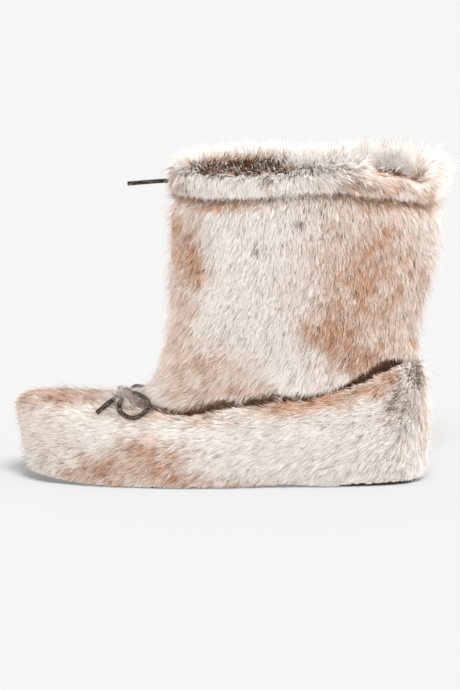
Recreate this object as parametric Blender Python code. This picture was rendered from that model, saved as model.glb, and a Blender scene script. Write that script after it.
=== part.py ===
"""Short faux fur boot for the left foot.

A moccasin-shaped fur upper sits on a thin rubber sole. A wide fur shaft is tucked inside its topline
and ends in a gathered cuff. A leather drawcord leaves the cuff at the front, and another one is tied
over the instep. The toe points along -X, the outer side of the foot faces -Y and +Z is up.
The origin is on the floor under the middle of the heel. Sizes are in millimetres until a mesh is made.
"""

import math
from collections import namedtuple

import bmesh
import bpy
import numpy as np

MM = 0.001
GAP = 0.4  # clearance between pieces that lie against each other

# Sole
SOLE_THICK = 7.0
SOLE_EDGE = 0.8  # rounding under the rim
TOE_SPRING = 7.0
SPRING_START_X = -180.0
TOE_X = -237.0
ARCH_LIFT = 2.0
ARCH_FRONT_X = -100.0
ARCH_BACK_X = -35.0
INSOLE_THICK = 3.0
INSOLE_INSET = 5.5

# Fur upper
HEM_LIFT = 2.5  # the fur hem's height over the sole's underside
SEAT_INSET = 5.0  # how far the wall reaches in over the sole
UPPER_WALL = 9.0  # backing and pile together
UPPER_ROWS = 11
LIP_RISE = 2.0

# Fur shaft
SHAFT_WALL = 12.0
SHAFT_ROWS = 17
SOCK_WALL = 2.6  # the plain stretch that is tucked inside the topline
SOCK_DEPTH = 15.0
SEAM_Z = 203.0  # where shaft and cuff are sewn together
SEAM_PINCH = 2.2  # how far the seam pulls the fur in
SEAM_FADE = 0.06  # share of the shaft's height that the pinch reaches
LEG_FRONT_X = -141.0
LEG_BACK_X = 41.0
LEG_HALF_WIDTH = 57.0
LEG_SQUARE = 2.25  # exponent of the leg's rounded section; 2 is an ellipse
SHOULDER_DROP = 80.0  # how far below the seam the shaft runs straight

# Locks of fur on the outer faces
AROUND = 60  # columns of every ring; even, so that locks alternate all the way round
LOCK_HEIGHT = 3.2
LOCK_DIP = 0.8
LOCK_SLIDE = 3.5
LOCK_SEED = 7

# Drawcords
EYELET_RADIUS = 4.0
EYELET_HOLE = 2.1
EYELET_LENGTH = 2.0
EYELET_X = -143.6  # its outer face
EYELET_Z = 210.2
POCKET_X = -138.0  # floor of the hole in the cuff's fur
POCKET_REACH = 20.0
RING_SIDES = 24
COLLAR_CORD_RADIUS = 1.5
INSTEP_CORD_RADIUS = 1.7

# The foot's sections, in order round it from the toe along the outer side to the heel and back.
# sole: the rubber's edge. hem_out: fur past that edge. belly: the wall's fullest point, out from the edge.
# fullness and shoulder_z: where the wall turns in, as a share of the way from topline to belly.
# top: the topline. slit: gap above it. rise: the shaft's first bend, in from the topline and up.
Station = namedtuple(
    "Station",
    "place sole_x sole_y hem_out belly_out belly_z fullness shoulder_z"
    " top_x top_y top_z slit rise_in rise_z",
)
STATIONS = [
    Station("toe_tip", -237, 5, 4, 30, 83, 0.74, 59, -171, 3, 58, 1.2, 35, 10),
    Station("outer_toe", -224, -19, 4, 27, 76, 0.76, 59, -168, -14, 57, 1.2, 27, 14),
    Station("outer_toe_side", -190, -36, 4, 19, 50, 0.80, 59, -158, -29, 54.5, 1.2, 13, 26),
    Station("outer_ball", -140, -45, 5, 12, 28, 0.60, 48, -137, -42, 52, 1.5, 2, 40),
    Station("outer_waist_front", -95, -41, 6, 13, 28, 0.80, 54, -96, -48, 57, 2.5, -4, 42),
    Station("outer_waist", -50, -36, 7, 18, 30, 0.80, 56, -54, -50, 62, 1.5, -4, 44),
    Station("outer_heel", -10, -33, 6, 15, 30, 0.80, 62, -14, -44, 72, 3.5, -3, 46),
    Station("outer_heel_corner", 18, -22, 5, 11, 32, 0.75, 70, 14, -29, 83, 6.0, 0, 52),
    Station("heel_back", 28, 0, 4, 9, 32, 0.70, 72, 28, 0, 87, 1.5, 1.5, 55),
    Station("inner_heel_corner", 18, 22, 5, 11, 32, 0.75, 70, 14, 29, 83, 3.0, 0, 52),
    Station("inner_heel", -10, 33, 6, 15, 30, 0.80, 62, -14, 44, 72, 1.5, -3, 46),
    Station("inner_waist", -50, 29, 7, 21, 30, 0.80, 56, -54, 49, 62, 1.5, -4, 44),
    Station("inner_waist_front", -95, 33, 6, 19, 28, 0.80, 54, -96, 47, 57, 1.5, -4, 42),
    Station("inner_ball", -150, 44, 5, 12, 28, 0.60, 48, -137, 42, 52, 1.5, 2, 40),
    Station("inner_toe_side", -197, 41, 4, 17, 48, 0.80, 57, -158, 31, 54.5, 1.2, 13, 26),
    Station("inner_toe", -227, 27, 4, 25, 73, 0.76, 58, -168, 17, 57, 1.2, 27, 14),
]

# The cuff's rounded section: how far each ring lies out from the leg's section, and its height.
CuffRing = namedtuple("CuffRing", "out z locks")
CUFF_RINGS = [
    CuffRing(-12.0, SEAM_Z + GAP, 0.0),
    CuffRing(-2.2, SEAM_Z + GAP, 0.0),
    CuffRing(0.2, 205.5, 0.3),
    CuffRing(1.4, 209.5, 1.0),
    CuffRing(1.7, 214.5, 1.0),
    CuffRing(1.0, 219.5, 1.0),
    CuffRing(-1.0, 224.0, 0.7),
    CuffRing(-5.0, 226.5, 0.4),
    CuffRing(-9.5, 226.5, 0.4),
    CuffRing(-13.0, 223.0, 0.3),
    CuffRing(-13.5, 215.0, 0.0),
    CuffRing(-12.5, 208.0, 0.0),
]

# How far the cuff's rim sinks, by degrees round the leg from its front along the outer side.
RimMark = namedtuple("RimMark", "turn drop")
RIM = [
    RimMark(0, 2.0),
    RimMark(35, 4.0),
    RimMark(75, 4.0),
    RimMark(98, 1.0),
    RimMark(118, 2.5),
    RimMark(140, 8.5),
    RimMark(158, 13.0),
    RimMark(172, 5.0),
    RimMark(184, 3.0),
    RimMark(222, 2.5),
    RimMark(255, 0.8),
    RimMark(300, 0.0),
]

# How far the seam between shaft and cuff is drawn up, by the same degrees.
SeamMark = namedtuple("SeamMark", "turn lift")
SEAM = [
    SeamMark(0, 0.0),
    SeamMark(30, 0.0),
    SeamMark(66, 2.0),
    SeamMark(86, 5.0),
    SeamMark(98, 5.5),
    SeamMark(108, 3.0),
    SeamMark(127, 0.0),
    SeamMark(155, -4.5),
    SeamMark(176, -3.0),
    SeamMark(200, 0.0),
    SeamMark(300, 0.0),
]

# Routes of the leather cords: points that each one's middle passes through.
KNOT_MIDDLE = (-175.5, -3.0, 62.0)
KNOT_STEPS = [(-4.4, 1.4), (-3.8, 2.4), (-2.6, 3.1), (-1.0, 3.3), (0.0, 2.8), (1.0, 3.3), (2.6, 3.1)]
KNOT_STEPS += [(3.8, 2.4), (4.4, 1.4)]  # along the knot, and its radius there
KNOT_SIDES = 16
ROUTES = {
    "collar_cord": [(-138.6, 0, 210.2), (-148, 0, 210.4), (-160, 0, 209.6), (-174.5, 0, 208.4)],
    "instep_loop": [
        (-173.4, -8.2, 61.8), (-168.6, -16.0, 62.8), (-163.8, -24.9, 61.9), (-160.6, -31.8, 59.8),
        (-159.6, -39.2, 57.2), (-161.4, -46.2, 54.4), (-165.6, -51.4, 51.8), (-170.8, -50.8, 50.2),
        (-175.7, -49.4, 51.5), (-178.9, -48.2, 54.6), (-179.8, -44.8, 58.4), (-178.5, -33.0, 60.6),
        (-177.9, -16.0, 61.1), (-177.6, -8.3, 61.4),
    ],
    "instep_end": [
        (-181.0, -4.2, 61.4), (-181.9, -19.0, 61.2), (-183.6, -33.0, 61.1), (-186.6, -43.8, 60.3),
        (-190.8, -47.0, 57.0), (-195.4, -48.4, 53.4),
    ],
    "instep_far_loop": [
        (-173.4, 2.2, 61.9), (-169.9, 13.0, 63.8), (-165.8, 24.4, 62.4), (-160.8, 33.0, 59.6),
        (-160.7, 41.8, 56.4), (-164.0, 48.4, 53.0), (-168.6, 53.6, 51.2), (-173.8, 52.8, 50.0),
        (-179.1, 50.6, 53.2), (-181.0, 44.8, 58.0), (-179.8, 32.4, 60.5), (-178.3, 16.2, 60.9),
        (-177.6, 2.3, 61.5),
    ],
}
CORD_STEP = 2.5  # length of one straight stretch of a cord
CORD_SIDES = 8

FUR_COLOUR = (0.74, 0.66, 0.60)
BROWN_FUR_COLOUR = (0.55, 0.41, 0.33)
RUBBER_COLOUR = (0.02, 0.02, 0.022)
INSOLE_COLOUR = (0.36, 0.27, 0.20)
LEATHER_COLOUR = (0.03, 0.026, 0.024)
METAL_COLOUR = (0.45, 0.45, 0.46)


def closed_spline(knots, values, places):
    """A smooth closed curve through values, one for each knot but the last, read at places."""
    count = len(values)
    step = np.diff(knots)
    slope = (np.roll(values, -1, axis=0) - values) / step[:, None]
    system = np.zeros((count, count))
    for i in range(count):
        before = step[i - 1]
        system[i, i - 1] += before
        system[i, i] += 2 * (before + step[i])
        system[i, (i + 1) % count] += step[i]
    bend = np.linalg.solve(system, 6 * (slope - np.roll(slope, 1, axis=0)))
    span = np.clip(np.searchsorted(knots, places, side="right") - 1, 0, count - 1)
    after = (span + 1) % count
    h = step[span][:, None]
    left = knots[span + 1][:, None] - places[:, None]
    right = places[:, None] - knots[span][:, None]
    return (
        (bend[span] * left**3 + bend[after] * right**3) / (6 * h)
        + (values[span] / h - bend[span] * h / 6) * left
        + (values[after] / h - bend[after] * h / 6) * right
    )


def sections():
    """Each column of the stations table at AROUND places, the same number on either side of the foot."""
    columns = Station._fields[1:]
    table = np.array([row[1:] for row in STATIONS], float)
    sole = table[:, [columns.index("sole_x"), columns.index("sole_y")]]
    top = table[:, [columns.index("top_x"), columns.index("top_y")]]
    chords = sum(np.linalg.norm(np.roll(line, -1, axis=0) - line, axis=1) for line in (sole, top))
    chords = chords + chords[::-1]
    knots = np.concatenate([[0.0], np.cumsum(chords)])
    places = np.linspace(0, knots[-1], AROUND, endpoint=False)
    read = closed_spline(knots, table, places)
    return {name: read[:, i] for i, name in enumerate(columns)}


def outward(ring):
    """Unit vectors that point out of a closed ring, seen from above."""
    along = np.roll(ring, -1, axis=0) - np.roll(ring, 1, axis=0)
    out = np.stack([along[:, 1], -along[:, 0]], axis=1)
    out /= np.linalg.norm(out, axis=1)[:, None]
    middle = ring[:, :2].mean(axis=0)
    inside_out = np.sum(out * (ring[:, :2] - middle)) < 0
    return -out if inside_out else out


def ring(plan, z):
    return np.column_stack([plan, np.broadcast_to(z, len(plan))])


def bezier(points, v):
    a, b, c, d = points
    w = 1 - v
    return w**3 * a + 3 * w * w * v * b + 3 * w * v * v * c + v**3 * d


def smooth_step(t):
    t = np.clip(t, 0, 1)
    return t * t * (3 - 2 * t)


FOOT = sections()
SOLE_PLAN = np.column_stack([FOOT["sole_x"], FOOT["sole_y"]])
SOLE_OUT = outward(SOLE_PLAN)
TOP_PLAN = np.column_stack([FOOT["top_x"], FOOT["top_y"]])
TOP_OUT = outward(TOP_PLAN)


def underside(x):
    """Height of the sole's underside: flat at heel and forefoot, lifted at the arch and the toe."""
    spring = np.clip((SPRING_START_X - x) / (SPRING_START_X - TOE_X), 0, None) ** 2
    arch = np.clip((x - ARCH_FRONT_X) / (ARCH_BACK_X - ARCH_FRONT_X), 0, 1)
    return TOE_SPRING * spring + ARCH_LIFT * np.sin(math.pi * arch) ** 2


def sole_top(x):
    spring = np.clip((SPRING_START_X - x) / (SPRING_START_X - TOE_X), 0, None) ** 2
    return TOE_SPRING * spring + SOLE_THICK


def upper_face(v):
    """The upper's fur face from hem, v = 0, to topline, v = 1, as a ring."""
    hem_plan = SOLE_PLAN + SOLE_OUT * FOOT["hem_out"][:, None]
    belly_plan = SOLE_PLAN + SOLE_OUT * FOOT["belly_out"][:, None]
    shoulder_plan = TOP_PLAN + (belly_plan - TOP_PLAN) * FOOT["fullness"][:, None]
    hem = ring(hem_plan, underside(hem_plan[:, 0]) + HEM_LIFT)
    belly = ring(belly_plan, FOOT["belly_z"])
    shoulder = ring(shoulder_plan, FOOT["shoulder_z"])
    return bezier((hem, belly, shoulder, ring(TOP_PLAN, FOOT["top_z"])), v)


def leg_plan(out=0.0):
    """The leg's rounded section, facing the same way round as the foot's columns."""
    middle = (LEG_FRONT_X + LEG_BACK_X) / 2
    half_length = (LEG_BACK_X - LEG_FRONT_X) / 2 + out
    half_width = LEG_HALF_WIDTH + out
    turn = np.linspace(0, 2 * math.pi, AROUND, endpoint=False)
    front = np.cos(turn)
    side = np.sin(turn)
    x = middle - half_length * np.sign(front) * np.abs(front) ** (2 / LEG_SQUARE)
    y = -half_width * np.sign(side) * np.abs(side) ** (2 / LEG_SQUARE)
    return np.column_stack([x, y])


def round_leg(marks):
    """A table of marks round the leg, read at each column."""
    knots = np.array([turn for turn, amount in marks] + [360.0])
    amounts = np.array([[amount] for turn, amount in marks])
    return closed_spline(knots, amounts, np.linspace(0, 360, AROUND, endpoint=False))[:, 0]


RIM_DROP = np.maximum(round_leg(RIM), 0)
SEAM_LIFT = round_leg(SEAM)


def shaft_face(v):
    """The shaft's fur face from the slit over the topline, v = 0, to the cuff's seam, v = 1."""
    start = ring(TOP_PLAN, FOOT["top_z"] + LIP_RISE + FOOT["slit"])
    bend_plan = TOP_PLAN - TOP_OUT * FOOT["rise_in"][:, None]
    bend = ring(bend_plan, start[:, 2] + FOOT["rise_z"])
    straight = ring(leg_plan(), SEAM_Z - SHOULDER_DROP)
    face = bezier((start, bend, straight, ring(leg_plan(), SEAM_Z + SEAM_LIFT)), v)
    pinch = SEAM_PINCH * smooth_step((v - 1 + SEAM_FADE) / SEAM_FADE)
    face[:, :2] += leg_plan(-pinch) - leg_plan()
    return face


def face_normals(face, v):
    """Unit vectors that point out of a fur face at height v."""
    step = 0.01
    up = face(min(v + step, 1)) - face(max(v - step, 0))
    here = face(v)
    along = np.roll(here, -1, axis=0) - np.roll(here, 1, axis=0)
    normal = np.cross(up, along)
    normal /= np.linalg.norm(normal, axis=1)[:, None]
    plan = outward(here)
    inside_out = np.sum(normal[:, :2] * plan) < 0
    return -normal if inside_out else normal


def locked(points, normals, row, amount, nap, chance):
    """A ring of the fur face with the tips of its locks raised and drawn along the nap."""
    column = np.arange(AROUND)
    tip = (row % 2 == 1) & ((column + row // 2) % 2 == 0)
    size = amount * chance.uniform(0.7, 1.3, AROUND)
    height = np.where(tip, LOCK_HEIGHT, -LOCK_DIP) * size
    nap = np.array(nap, float)
    slide = nap - normals * (normals @ nap)[:, None]
    slide /= np.linalg.norm(slide, axis=1)[:, None]
    return points + normals * height[:, None] + slide * (LOCK_SLIDE * size * tip)[:, None]


def fur_rows(face, rows, nap):
    """The rings of a fur face, with locks that fade out at both edges."""
    chance = np.random.default_rng(LOCK_SEED)
    made = []
    for row in range(rows):
        v = row / (rows - 1)
        edge = smooth_step(min(row, rows - 1 - row) / 2)
        made.append(locked(face(v), face_normals(face, v), row, edge, nap, chance))
    return made


def material(name, colour, roughness, metallic=0.0):
    made = bpy.data.materials.new(name)
    made.use_nodes = True
    shader = made.node_tree.nodes["Principled BSDF"]
    shader.inputs["Base Color"].default_value = (*colour, 1.0)
    shader.inputs["Roughness"].default_value = roughness
    shader.inputs["Metallic"].default_value = metallic
    return made


def add_mesh(name, bm, collection, finish):
    """An object made of a bmesh in millimetres."""
    bmesh.ops.recalc_face_normals(bm, faces=bm.faces)
    bmesh.ops.scale(bm, vec=(MM, MM, MM), verts=bm.verts)
    mesh = bpy.data.meshes.new(name)
    bm.to_mesh(mesh)
    bm.free()
    mesh.shade_smooth()
    mesh.materials.append(finish)
    obj = bpy.data.objects.new(name, mesh)
    collection.objects.link(obj)
    return obj


def band(bm, low, high):
    """Faces between two rings of vertices."""
    for i in range(len(low)):
        j = (i + 1) % len(low)
        bm.faces.new((low[i], low[j], high[j], high[i]))


def strip(bm, loop):
    """Faces across a ring of vertices, from each one to its partner on the other side of the foot."""
    half = len(loop) // 2
    bm.faces.new((loop[0], loop[1], loop[-1]))
    for i in range(1, half - 1):
        bm.faces.new((loop[i], loop[i + 1], loop[-i - 1], loop[-i]))
    bm.faces.new((loop[half - 1], loop[half], loop[half + 1]))


def hollow_loft(name, rings, collection, finish):
    """A hollow wall: a closed band of rings, each joined to the next and the last to the first."""
    bm = bmesh.new()
    loops = [[bm.verts.new(point) for point in points] for points in rings]
    for low, high in zip(loops, loops[1:] + loops[:1]):
        band(bm, low, high)
    return add_mesh(name, bm, collection, finish)


def plate_loft(name, rings, collection, finish):
    """A solid plate: rings stacked from its underside to its top, closed across at both ends."""
    bm = bmesh.new()
    loops = [[bm.verts.new(point) for point in points] for points in rings]
    for low, high in zip(loops, loops[1:]):
        band(bm, low, high)
    strip(bm, loops[0])
    strip(bm, loops[-1])
    return add_mesh(name, bm, collection, finish)


def make_outsole(collection):
    x = SOLE_PLAN[:, 0]
    tread = SOLE_PLAN - SOLE_OUT * SOLE_EDGE
    rings = [
        ring(tread, underside(x)),
        ring(SOLE_PLAN, underside(x) + SOLE_EDGE),
        ring(SOLE_PLAN, sole_top(x)),
    ]
    return plate_loft("outsole", rings, collection, material("sole rubber", RUBBER_COLOUR, 0.7))


def make_insole(collection):
    plan = SOLE_PLAN - SOLE_OUT * INSOLE_INSET
    low = sole_top(plan[:, 0]) + GAP
    rings = [ring(plan, low), ring(plan, low + INSOLE_THICK)]
    return plate_loft("insole", rings, collection, material("insole felt", INSOLE_COLOUR, 0.95))


def upper_lining():
    """The rings of the upper's inner face, from the topline down."""
    return [
        upper_face(v) - face_normals(upper_face, v) * UPPER_WALL for v in (1.0, 0.75, 0.5, 0.28)
    ]


def make_upper(collection):
    """The fur wall round the foot: open along the topline and underneath, its hem hanging past the sole."""
    outer = fur_rows(upper_face, UPPER_ROWS, (-1, 0, -0.35))
    lip_normals = face_normals(upper_face, 1)
    lip = upper_face(1) - lip_normals * UPPER_WALL / 2 + np.array([0, 0, LIP_RISE])
    x = SOLE_PLAN[:, 0]
    seat_z = sole_top(x) + GAP
    skirt = SOLE_PLAN + SOLE_OUT * GAP
    seat = [
        ring(SOLE_PLAN - SOLE_OUT * SEAT_INSET, seat_z),
        ring(skirt, seat_z),
        ring(skirt, underside(x) + HEM_LIFT),
    ]
    rings = [*outer, lip, *upper_lining(), *seat]
    return hollow_loft("upper", rings, collection, material("pale fur", FUR_COLOUR, 0.9))


def make_shaft(collection):
    """The fur tube round the leg: thin where it is tucked inside the topline, thick above the slit."""
    outer = fur_rows(shaft_face, SHAFT_ROWS, (-0.3, 0, -1))
    insets = [np.sum((TOP_PLAN - wall[:, :2]) * TOP_OUT, axis=1) for wall in upper_lining()]
    sock_in = np.max([np.zeros(AROUND), *insets], axis=0) + 2 * GAP
    sock_plan = TOP_PLAN - TOP_OUT * sock_in[:, None]
    sock_inner = TOP_PLAN - TOP_OUT * (sock_in + SOCK_WALL)[:, None]
    start = shaft_face(0)[:, 2]
    low = FOOT["top_z"] - SOCK_DEPTH
    inner = [ring(leg_plan(-SHAFT_WALL), SEAM_Z + SEAM_LIFT)]
    for v in (0.75, 0.5, 0.3, 0.15, 0.06):
        depth = sock_in + SOCK_WALL + (SHAFT_WALL - sock_in - SOCK_WALL) * smooth_step(v / 0.3)
        inner.append(shaft_face(v) - face_normals(shaft_face, v) * depth[:, None])
    rings = [
        ring(sock_plan, low),
        ring(sock_plan, start),
        *outer,
        *inner,
        ring(sock_inner, start),
        ring(sock_inner, low),
    ]
    return hollow_loft("shaft", rings, collection, material("brown fur", BROWN_FUR_COLOUR, 0.9))


def make_cuff(collection):
    """The gathered roll of fur that holds the drawcord, with a hole for the eyelet at the front."""
    chance = np.random.default_rng(LOCK_SEED)
    rim_z = max(section.z for section in CUFF_RINGS)
    rings = []
    for row, section in enumerate(CUFF_RINGS):
        plan = leg_plan(section.out)
        share = (section.z - SEAM_Z - GAP) / (rim_z - SEAM_Z - GAP)
        points = ring(plan, section.z + SEAM_LIFT * (1 - share) - RIM_DROP * share)
        normals = np.column_stack([outward(points), np.zeros(AROUND)])
        rings.append(locked(points, normals, row, section.locks, (0, 0, -1), chance))
    return hollow_loft("cuff", rings, collection, material("cuff fur", FUR_COLOUR, 0.9))


def circle(x, radius, sides):
    """A ring of points round the eyelet's axis."""
    turn = np.linspace(0, 2 * math.pi, sides, endpoint=False)
    return np.column_stack([np.full(sides, x), radius * np.cos(turn), EYELET_Z + radius * np.sin(turn)])


def make_eyelet(collection):
    back = EYELET_X + EYELET_LENGTH
    rings = [
        circle(EYELET_X, EYELET_HOLE, RING_SIDES),
        circle(EYELET_X, EYELET_RADIUS, RING_SIDES),
        circle(back, EYELET_RADIUS, RING_SIDES),
        circle(back, EYELET_HOLE, RING_SIDES),
    ]
    return hollow_loft("cord_eyelet", rings, collection, material("eyelet thread", METAL_COLOUR, 0.6))


def cut_pocket(cuff, cutters):
    """The hole in the cuff's fur that the eyelet lies in."""
    bm = bmesh.new()
    ends = [circle(x, EYELET_RADIUS + GAP, RING_SIDES) for x in (POCKET_X, POCKET_X - POCKET_REACH)]
    loops = [[bm.verts.new(point) for point in points] for points in ends]
    band(bm, *loops)
    for loop in loops:
        bm.faces.new(loop)
    cutter = add_mesh("eyelet_pocket", bm, cutters, material("cutter", METAL_COLOUR, 0.5))
    cutter.hide_render = True
    cutter.display_type = "WIRE"
    cut = cuff.modifiers.new("eyelet pocket", "BOOLEAN")
    cut.operation = "DIFFERENCE"
    cut.solver = "EXACT"
    cut.object = cutter


def through(route):
    """Points along a smooth curve through a route, about CORD_STEP apart."""
    route = np.array(route, float)
    ends = [2 * route[0] - route[1], *route, 2 * route[-1] - route[-2]]
    made = [route[0]]
    for before, start, end, after in zip(ends, ends[1:], ends[2:], ends[3:]):
        count = max(1, round(np.linalg.norm(end - start) / CORD_STEP))
        for t in np.arange(1, count + 1) / count:
            made.append(
                start
                + 0.5 * t * (end - before)
                + t * t * (before - 2.5 * start + 2 * end - 0.5 * after)
                + t**3 * (1.5 * (start - end) + 0.5 * (after - before))
            )
    return np.array(made)


def make_cord(name, radius, collection, finish):
    """A round cord along its route, closed at both ends."""
    middle = through(ROUTES[name])
    along = np.gradient(middle, axis=0)
    along /= np.linalg.norm(along, axis=1)[:, None]
    turn = np.linspace(0, 2 * math.pi, CORD_SIDES, endpoint=False)
    side = np.cross(along[0], (0.3, 0.5, 0.8))
    bm = bmesh.new()
    loops = []
    for point, forward in zip(middle, along):
        side = side - forward * (side @ forward)
        side /= np.linalg.norm(side)
        up = np.cross(forward, side)
        loops.append([bm.verts.new(point + radius * (math.cos(a) * side + math.sin(a) * up)) for a in turn])
    for low, high in zip(loops, loops[1:]):
        band(bm, low, high)
    bm.faces.new(loops[0])
    bm.faces.new(loops[-1])
    return add_mesh(name, bm, collection, finish)


def make_knot(collection, finish):
    """The knot on the instep, a short barrel with a waist where the cord crosses over."""
    turn = np.linspace(0, 2 * math.pi, KNOT_SIDES, endpoint=False)
    bm = bmesh.new()
    loops = []
    for along, radius in KNOT_STEPS:
        points = [(radius * math.cos(a), along, radius * math.sin(a)) for a in turn]
        loops.append([bm.verts.new(np.add(KNOT_MIDDLE, point)) for point in points])
    for low, high in zip(loops, loops[1:]):
        band(bm, low, high)
    bm.faces.new(loops[0])
    bm.faces.new(loops[-1])
    return add_mesh("instep_knot", bm, collection, finish)


def main():
    for obj in list(bpy.data.objects):
        bpy.data.objects.remove(obj)
    boot = bpy.data.collections.new("faux fur boot")
    cutters = bpy.data.collections.new("cutters")
    bpy.context.scene.collection.children.link(boot)
    bpy.context.scene.collection.children.link(cutters)
    make_outsole(boot)
    make_insole(boot)
    make_upper(boot)
    make_shaft(boot)
    cut_pocket(make_cuff(boot), cutters)
    make_eyelet(boot)
    make_cord("collar_cord", COLLAR_CORD_RADIUS, boot, material("collar cord leather", LEATHER_COLOUR, 0.4))
    make_knot(boot, material("knot leather", LEATHER_COLOUR, 0.4))
    for name in ("instep_loop", "instep_end", "instep_far_loop"):
        make_cord(name, INSTEP_CORD_RADIUS, boot, material(name + " leather", LEATHER_COLOUR, 0.4))


main()
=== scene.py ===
"""Looks of the faux fur boot: pelts with strands of fur, leather cords, a rubber sole, studio and camera.

The pelts follow the same tables as the part's solids. Sizes are millimetres until a mesh is made.
The toe points along -X, the outer side of the foot faces -Y and +Z is up.
"""

import math
from collections import namedtuple

import bpy
import numpy as np
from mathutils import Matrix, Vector
from mathutils.kdtree import KDTree


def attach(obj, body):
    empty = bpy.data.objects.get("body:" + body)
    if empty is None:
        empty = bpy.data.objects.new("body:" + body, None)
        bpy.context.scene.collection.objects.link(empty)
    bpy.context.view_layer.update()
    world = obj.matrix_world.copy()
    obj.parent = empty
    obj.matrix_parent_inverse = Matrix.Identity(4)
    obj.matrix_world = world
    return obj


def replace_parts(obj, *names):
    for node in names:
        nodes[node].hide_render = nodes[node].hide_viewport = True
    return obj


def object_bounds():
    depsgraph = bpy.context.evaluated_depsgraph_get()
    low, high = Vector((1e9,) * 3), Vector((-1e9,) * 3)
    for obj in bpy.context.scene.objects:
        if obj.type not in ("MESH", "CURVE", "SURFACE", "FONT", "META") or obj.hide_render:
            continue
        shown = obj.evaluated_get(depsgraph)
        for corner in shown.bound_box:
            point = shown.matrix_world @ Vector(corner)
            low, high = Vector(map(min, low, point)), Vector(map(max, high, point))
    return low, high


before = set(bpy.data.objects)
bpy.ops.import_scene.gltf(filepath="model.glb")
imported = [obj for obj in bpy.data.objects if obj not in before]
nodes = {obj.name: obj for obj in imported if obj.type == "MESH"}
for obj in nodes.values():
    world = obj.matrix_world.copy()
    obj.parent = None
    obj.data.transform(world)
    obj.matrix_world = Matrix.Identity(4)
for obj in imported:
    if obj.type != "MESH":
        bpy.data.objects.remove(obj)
cad_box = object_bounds()

MM = 0.001
GAP = 0.4

# Sizes of the solids
SOLE_THICK = 7.0
TOE_SPRING = 7.0
SPRING_START_X = -180.0
TOE_X = -237.0
ARCH_LIFT = 2.0
ARCH_FRONT_X = -100.0
ARCH_BACK_X = -35.0
HEM_LIFT = 2.5
SEAT_INSET = 5.0
UPPER_WALL = 9.0
LIP_RISE = 2.0
SHAFT_WALL = 12.0
SOCK_WALL = 2.6
SOCK_DEPTH = 15.0
SOCK_DROP = 1.0
LIP_DEPTH = 7.2
LIP_LIFT = 0.8
HEM_OUT = 1.6
SEAM_Z = 203.0
SEAM_PINCH = 2.2
SEAM_FADE = 0.06
LEG_FRONT_X = -141.0
LEG_BACK_X = 41.0
LEG_HALF_WIDTH = 57.0
LEG_SQUARE = 2.25
SHOULDER_DROP = 80.0
COLLAR_CORD_RADIUS = 1.5
INSTEP_CORD_RADIUS = 1.7

COLUMNS = 480  # columns of every pelt, all the way round
SKIN_STEP = 4  # columns between the corners of a pelt's cloth
Station = namedtuple(
    "Station",
    "place sole_x sole_y hem_out belly_out belly_z fullness shoulder_z"
    " top_x top_y top_z slit rise_in rise_z",
)
STATIONS = [Station(*row) for row in (
    ("toe_tip", -237, 5, 4, 30, 83, 0.74, 59, -171, 3, 58, 1.2, 35, 10),
    ("outer_toe", -224, -19, 4, 27, 76, 0.76, 59, -168, -14, 57, 1.2, 27, 14),
    ("outer_toe_side", -190, -36, 4, 19, 50, 0.80, 59, -158, -29, 54.5, 1.2, 13, 26),
    ("outer_ball", -140, -45, 5, 12, 28, 0.60, 48, -137, -42, 52, 1.5, 2, 40),
    ("outer_waist_front", -95, -41, 6, 13, 28, 0.80, 54, -96, -48, 57, 2.5, -4, 42),
    ("outer_waist", -50, -36, 7, 18, 30, 0.80, 56, -54, -50, 62, 1.5, -4, 44),
    ("outer_heel", -10, -33, 6, 15, 30, 0.80, 62, -14, -44, 72, 3.5, -3, 46),
    ("outer_heel_corner", 18, -22, 5, 11, 32, 0.75, 70, 14, -29, 83, 6.0, 0, 52),
    ("heel_back", 28, 0, 4, 9, 32, 0.70, 72, 28, 0, 87, 1.5, 1.5, 55),
    ("inner_heel_corner", 18, 22, 5, 11, 32, 0.75, 70, 14, 29, 83, 3.0, 0, 52),
    ("inner_heel", -10, 33, 6, 15, 30, 0.80, 62, -14, 44, 72, 1.5, -3, 46),
    ("inner_waist", -50, 29, 7, 21, 30, 0.80, 56, -54, 49, 62, 1.5, -4, 44),
    ("inner_waist_front", -95, 33, 6, 19, 28, 0.80, 54, -96, 47, 57, 1.5, -4, 42),
    ("inner_ball", -150, 44, 5, 12, 28, 0.60, 48, -137, 42, 52, 1.5, 2, 40),
    ("inner_toe_side", -197, 41, 4, 17, 48, 0.80, 57, -158, 31, 54.5, 1.2, 13, 26),
    ("inner_toe", -227, 27, 4, 25, 73, 0.76, 58, -168, 17, 57, 1.2, 27, 14),
)]

# The cuff's section from its seam over the rim and down inside
CuffRing = namedtuple("CuffRing", "out z")
CUFF_RINGS = [CuffRing(*row) for row in (
    (-2.2, 203.4),
    (0.2, 205.5),
    (1.4, 209.5),
    (1.7, 214.5),
    (1.0, 219.5),
    (-1.0, 224.0),
    (-5.0, 226.5),
    (-9.5, 226.5),
    (-13.0, 223.0),
    (-13.5, 215.0),
    (-12.5, 208.0),
    (-12.0, 203.4),
)]

# How far the cuff's rim sinks, by degrees round the leg from its front along the outer side
RimMark = namedtuple("RimMark", "turn drop")
RIM = [RimMark(*row) for row in (
    (0, 2.0), (35, 4.0), (75, 4.0), (98, 1.0), (118, 2.5),
    (140, 8.5), (158, 13.0), (172, 5.0), (184, 3.0), (222, 2.5),
    (255, 0.8), (300, 0.0),
)]

# How far the seam between shaft and cuff is drawn up, by the same degrees
SeamMark = namedtuple("SeamMark", "turn lift")
SEAM = [SeamMark(*row) for row in (
    (0, 0.0), (30, 0.0), (66, 2.0), (86, 5.0), (98, 5.5),
    (108, 3.0), (127, 0.0), (155, -4.5), (176, -3.0), (200, 0.0),
    (300, 0.0),
)]

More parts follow.
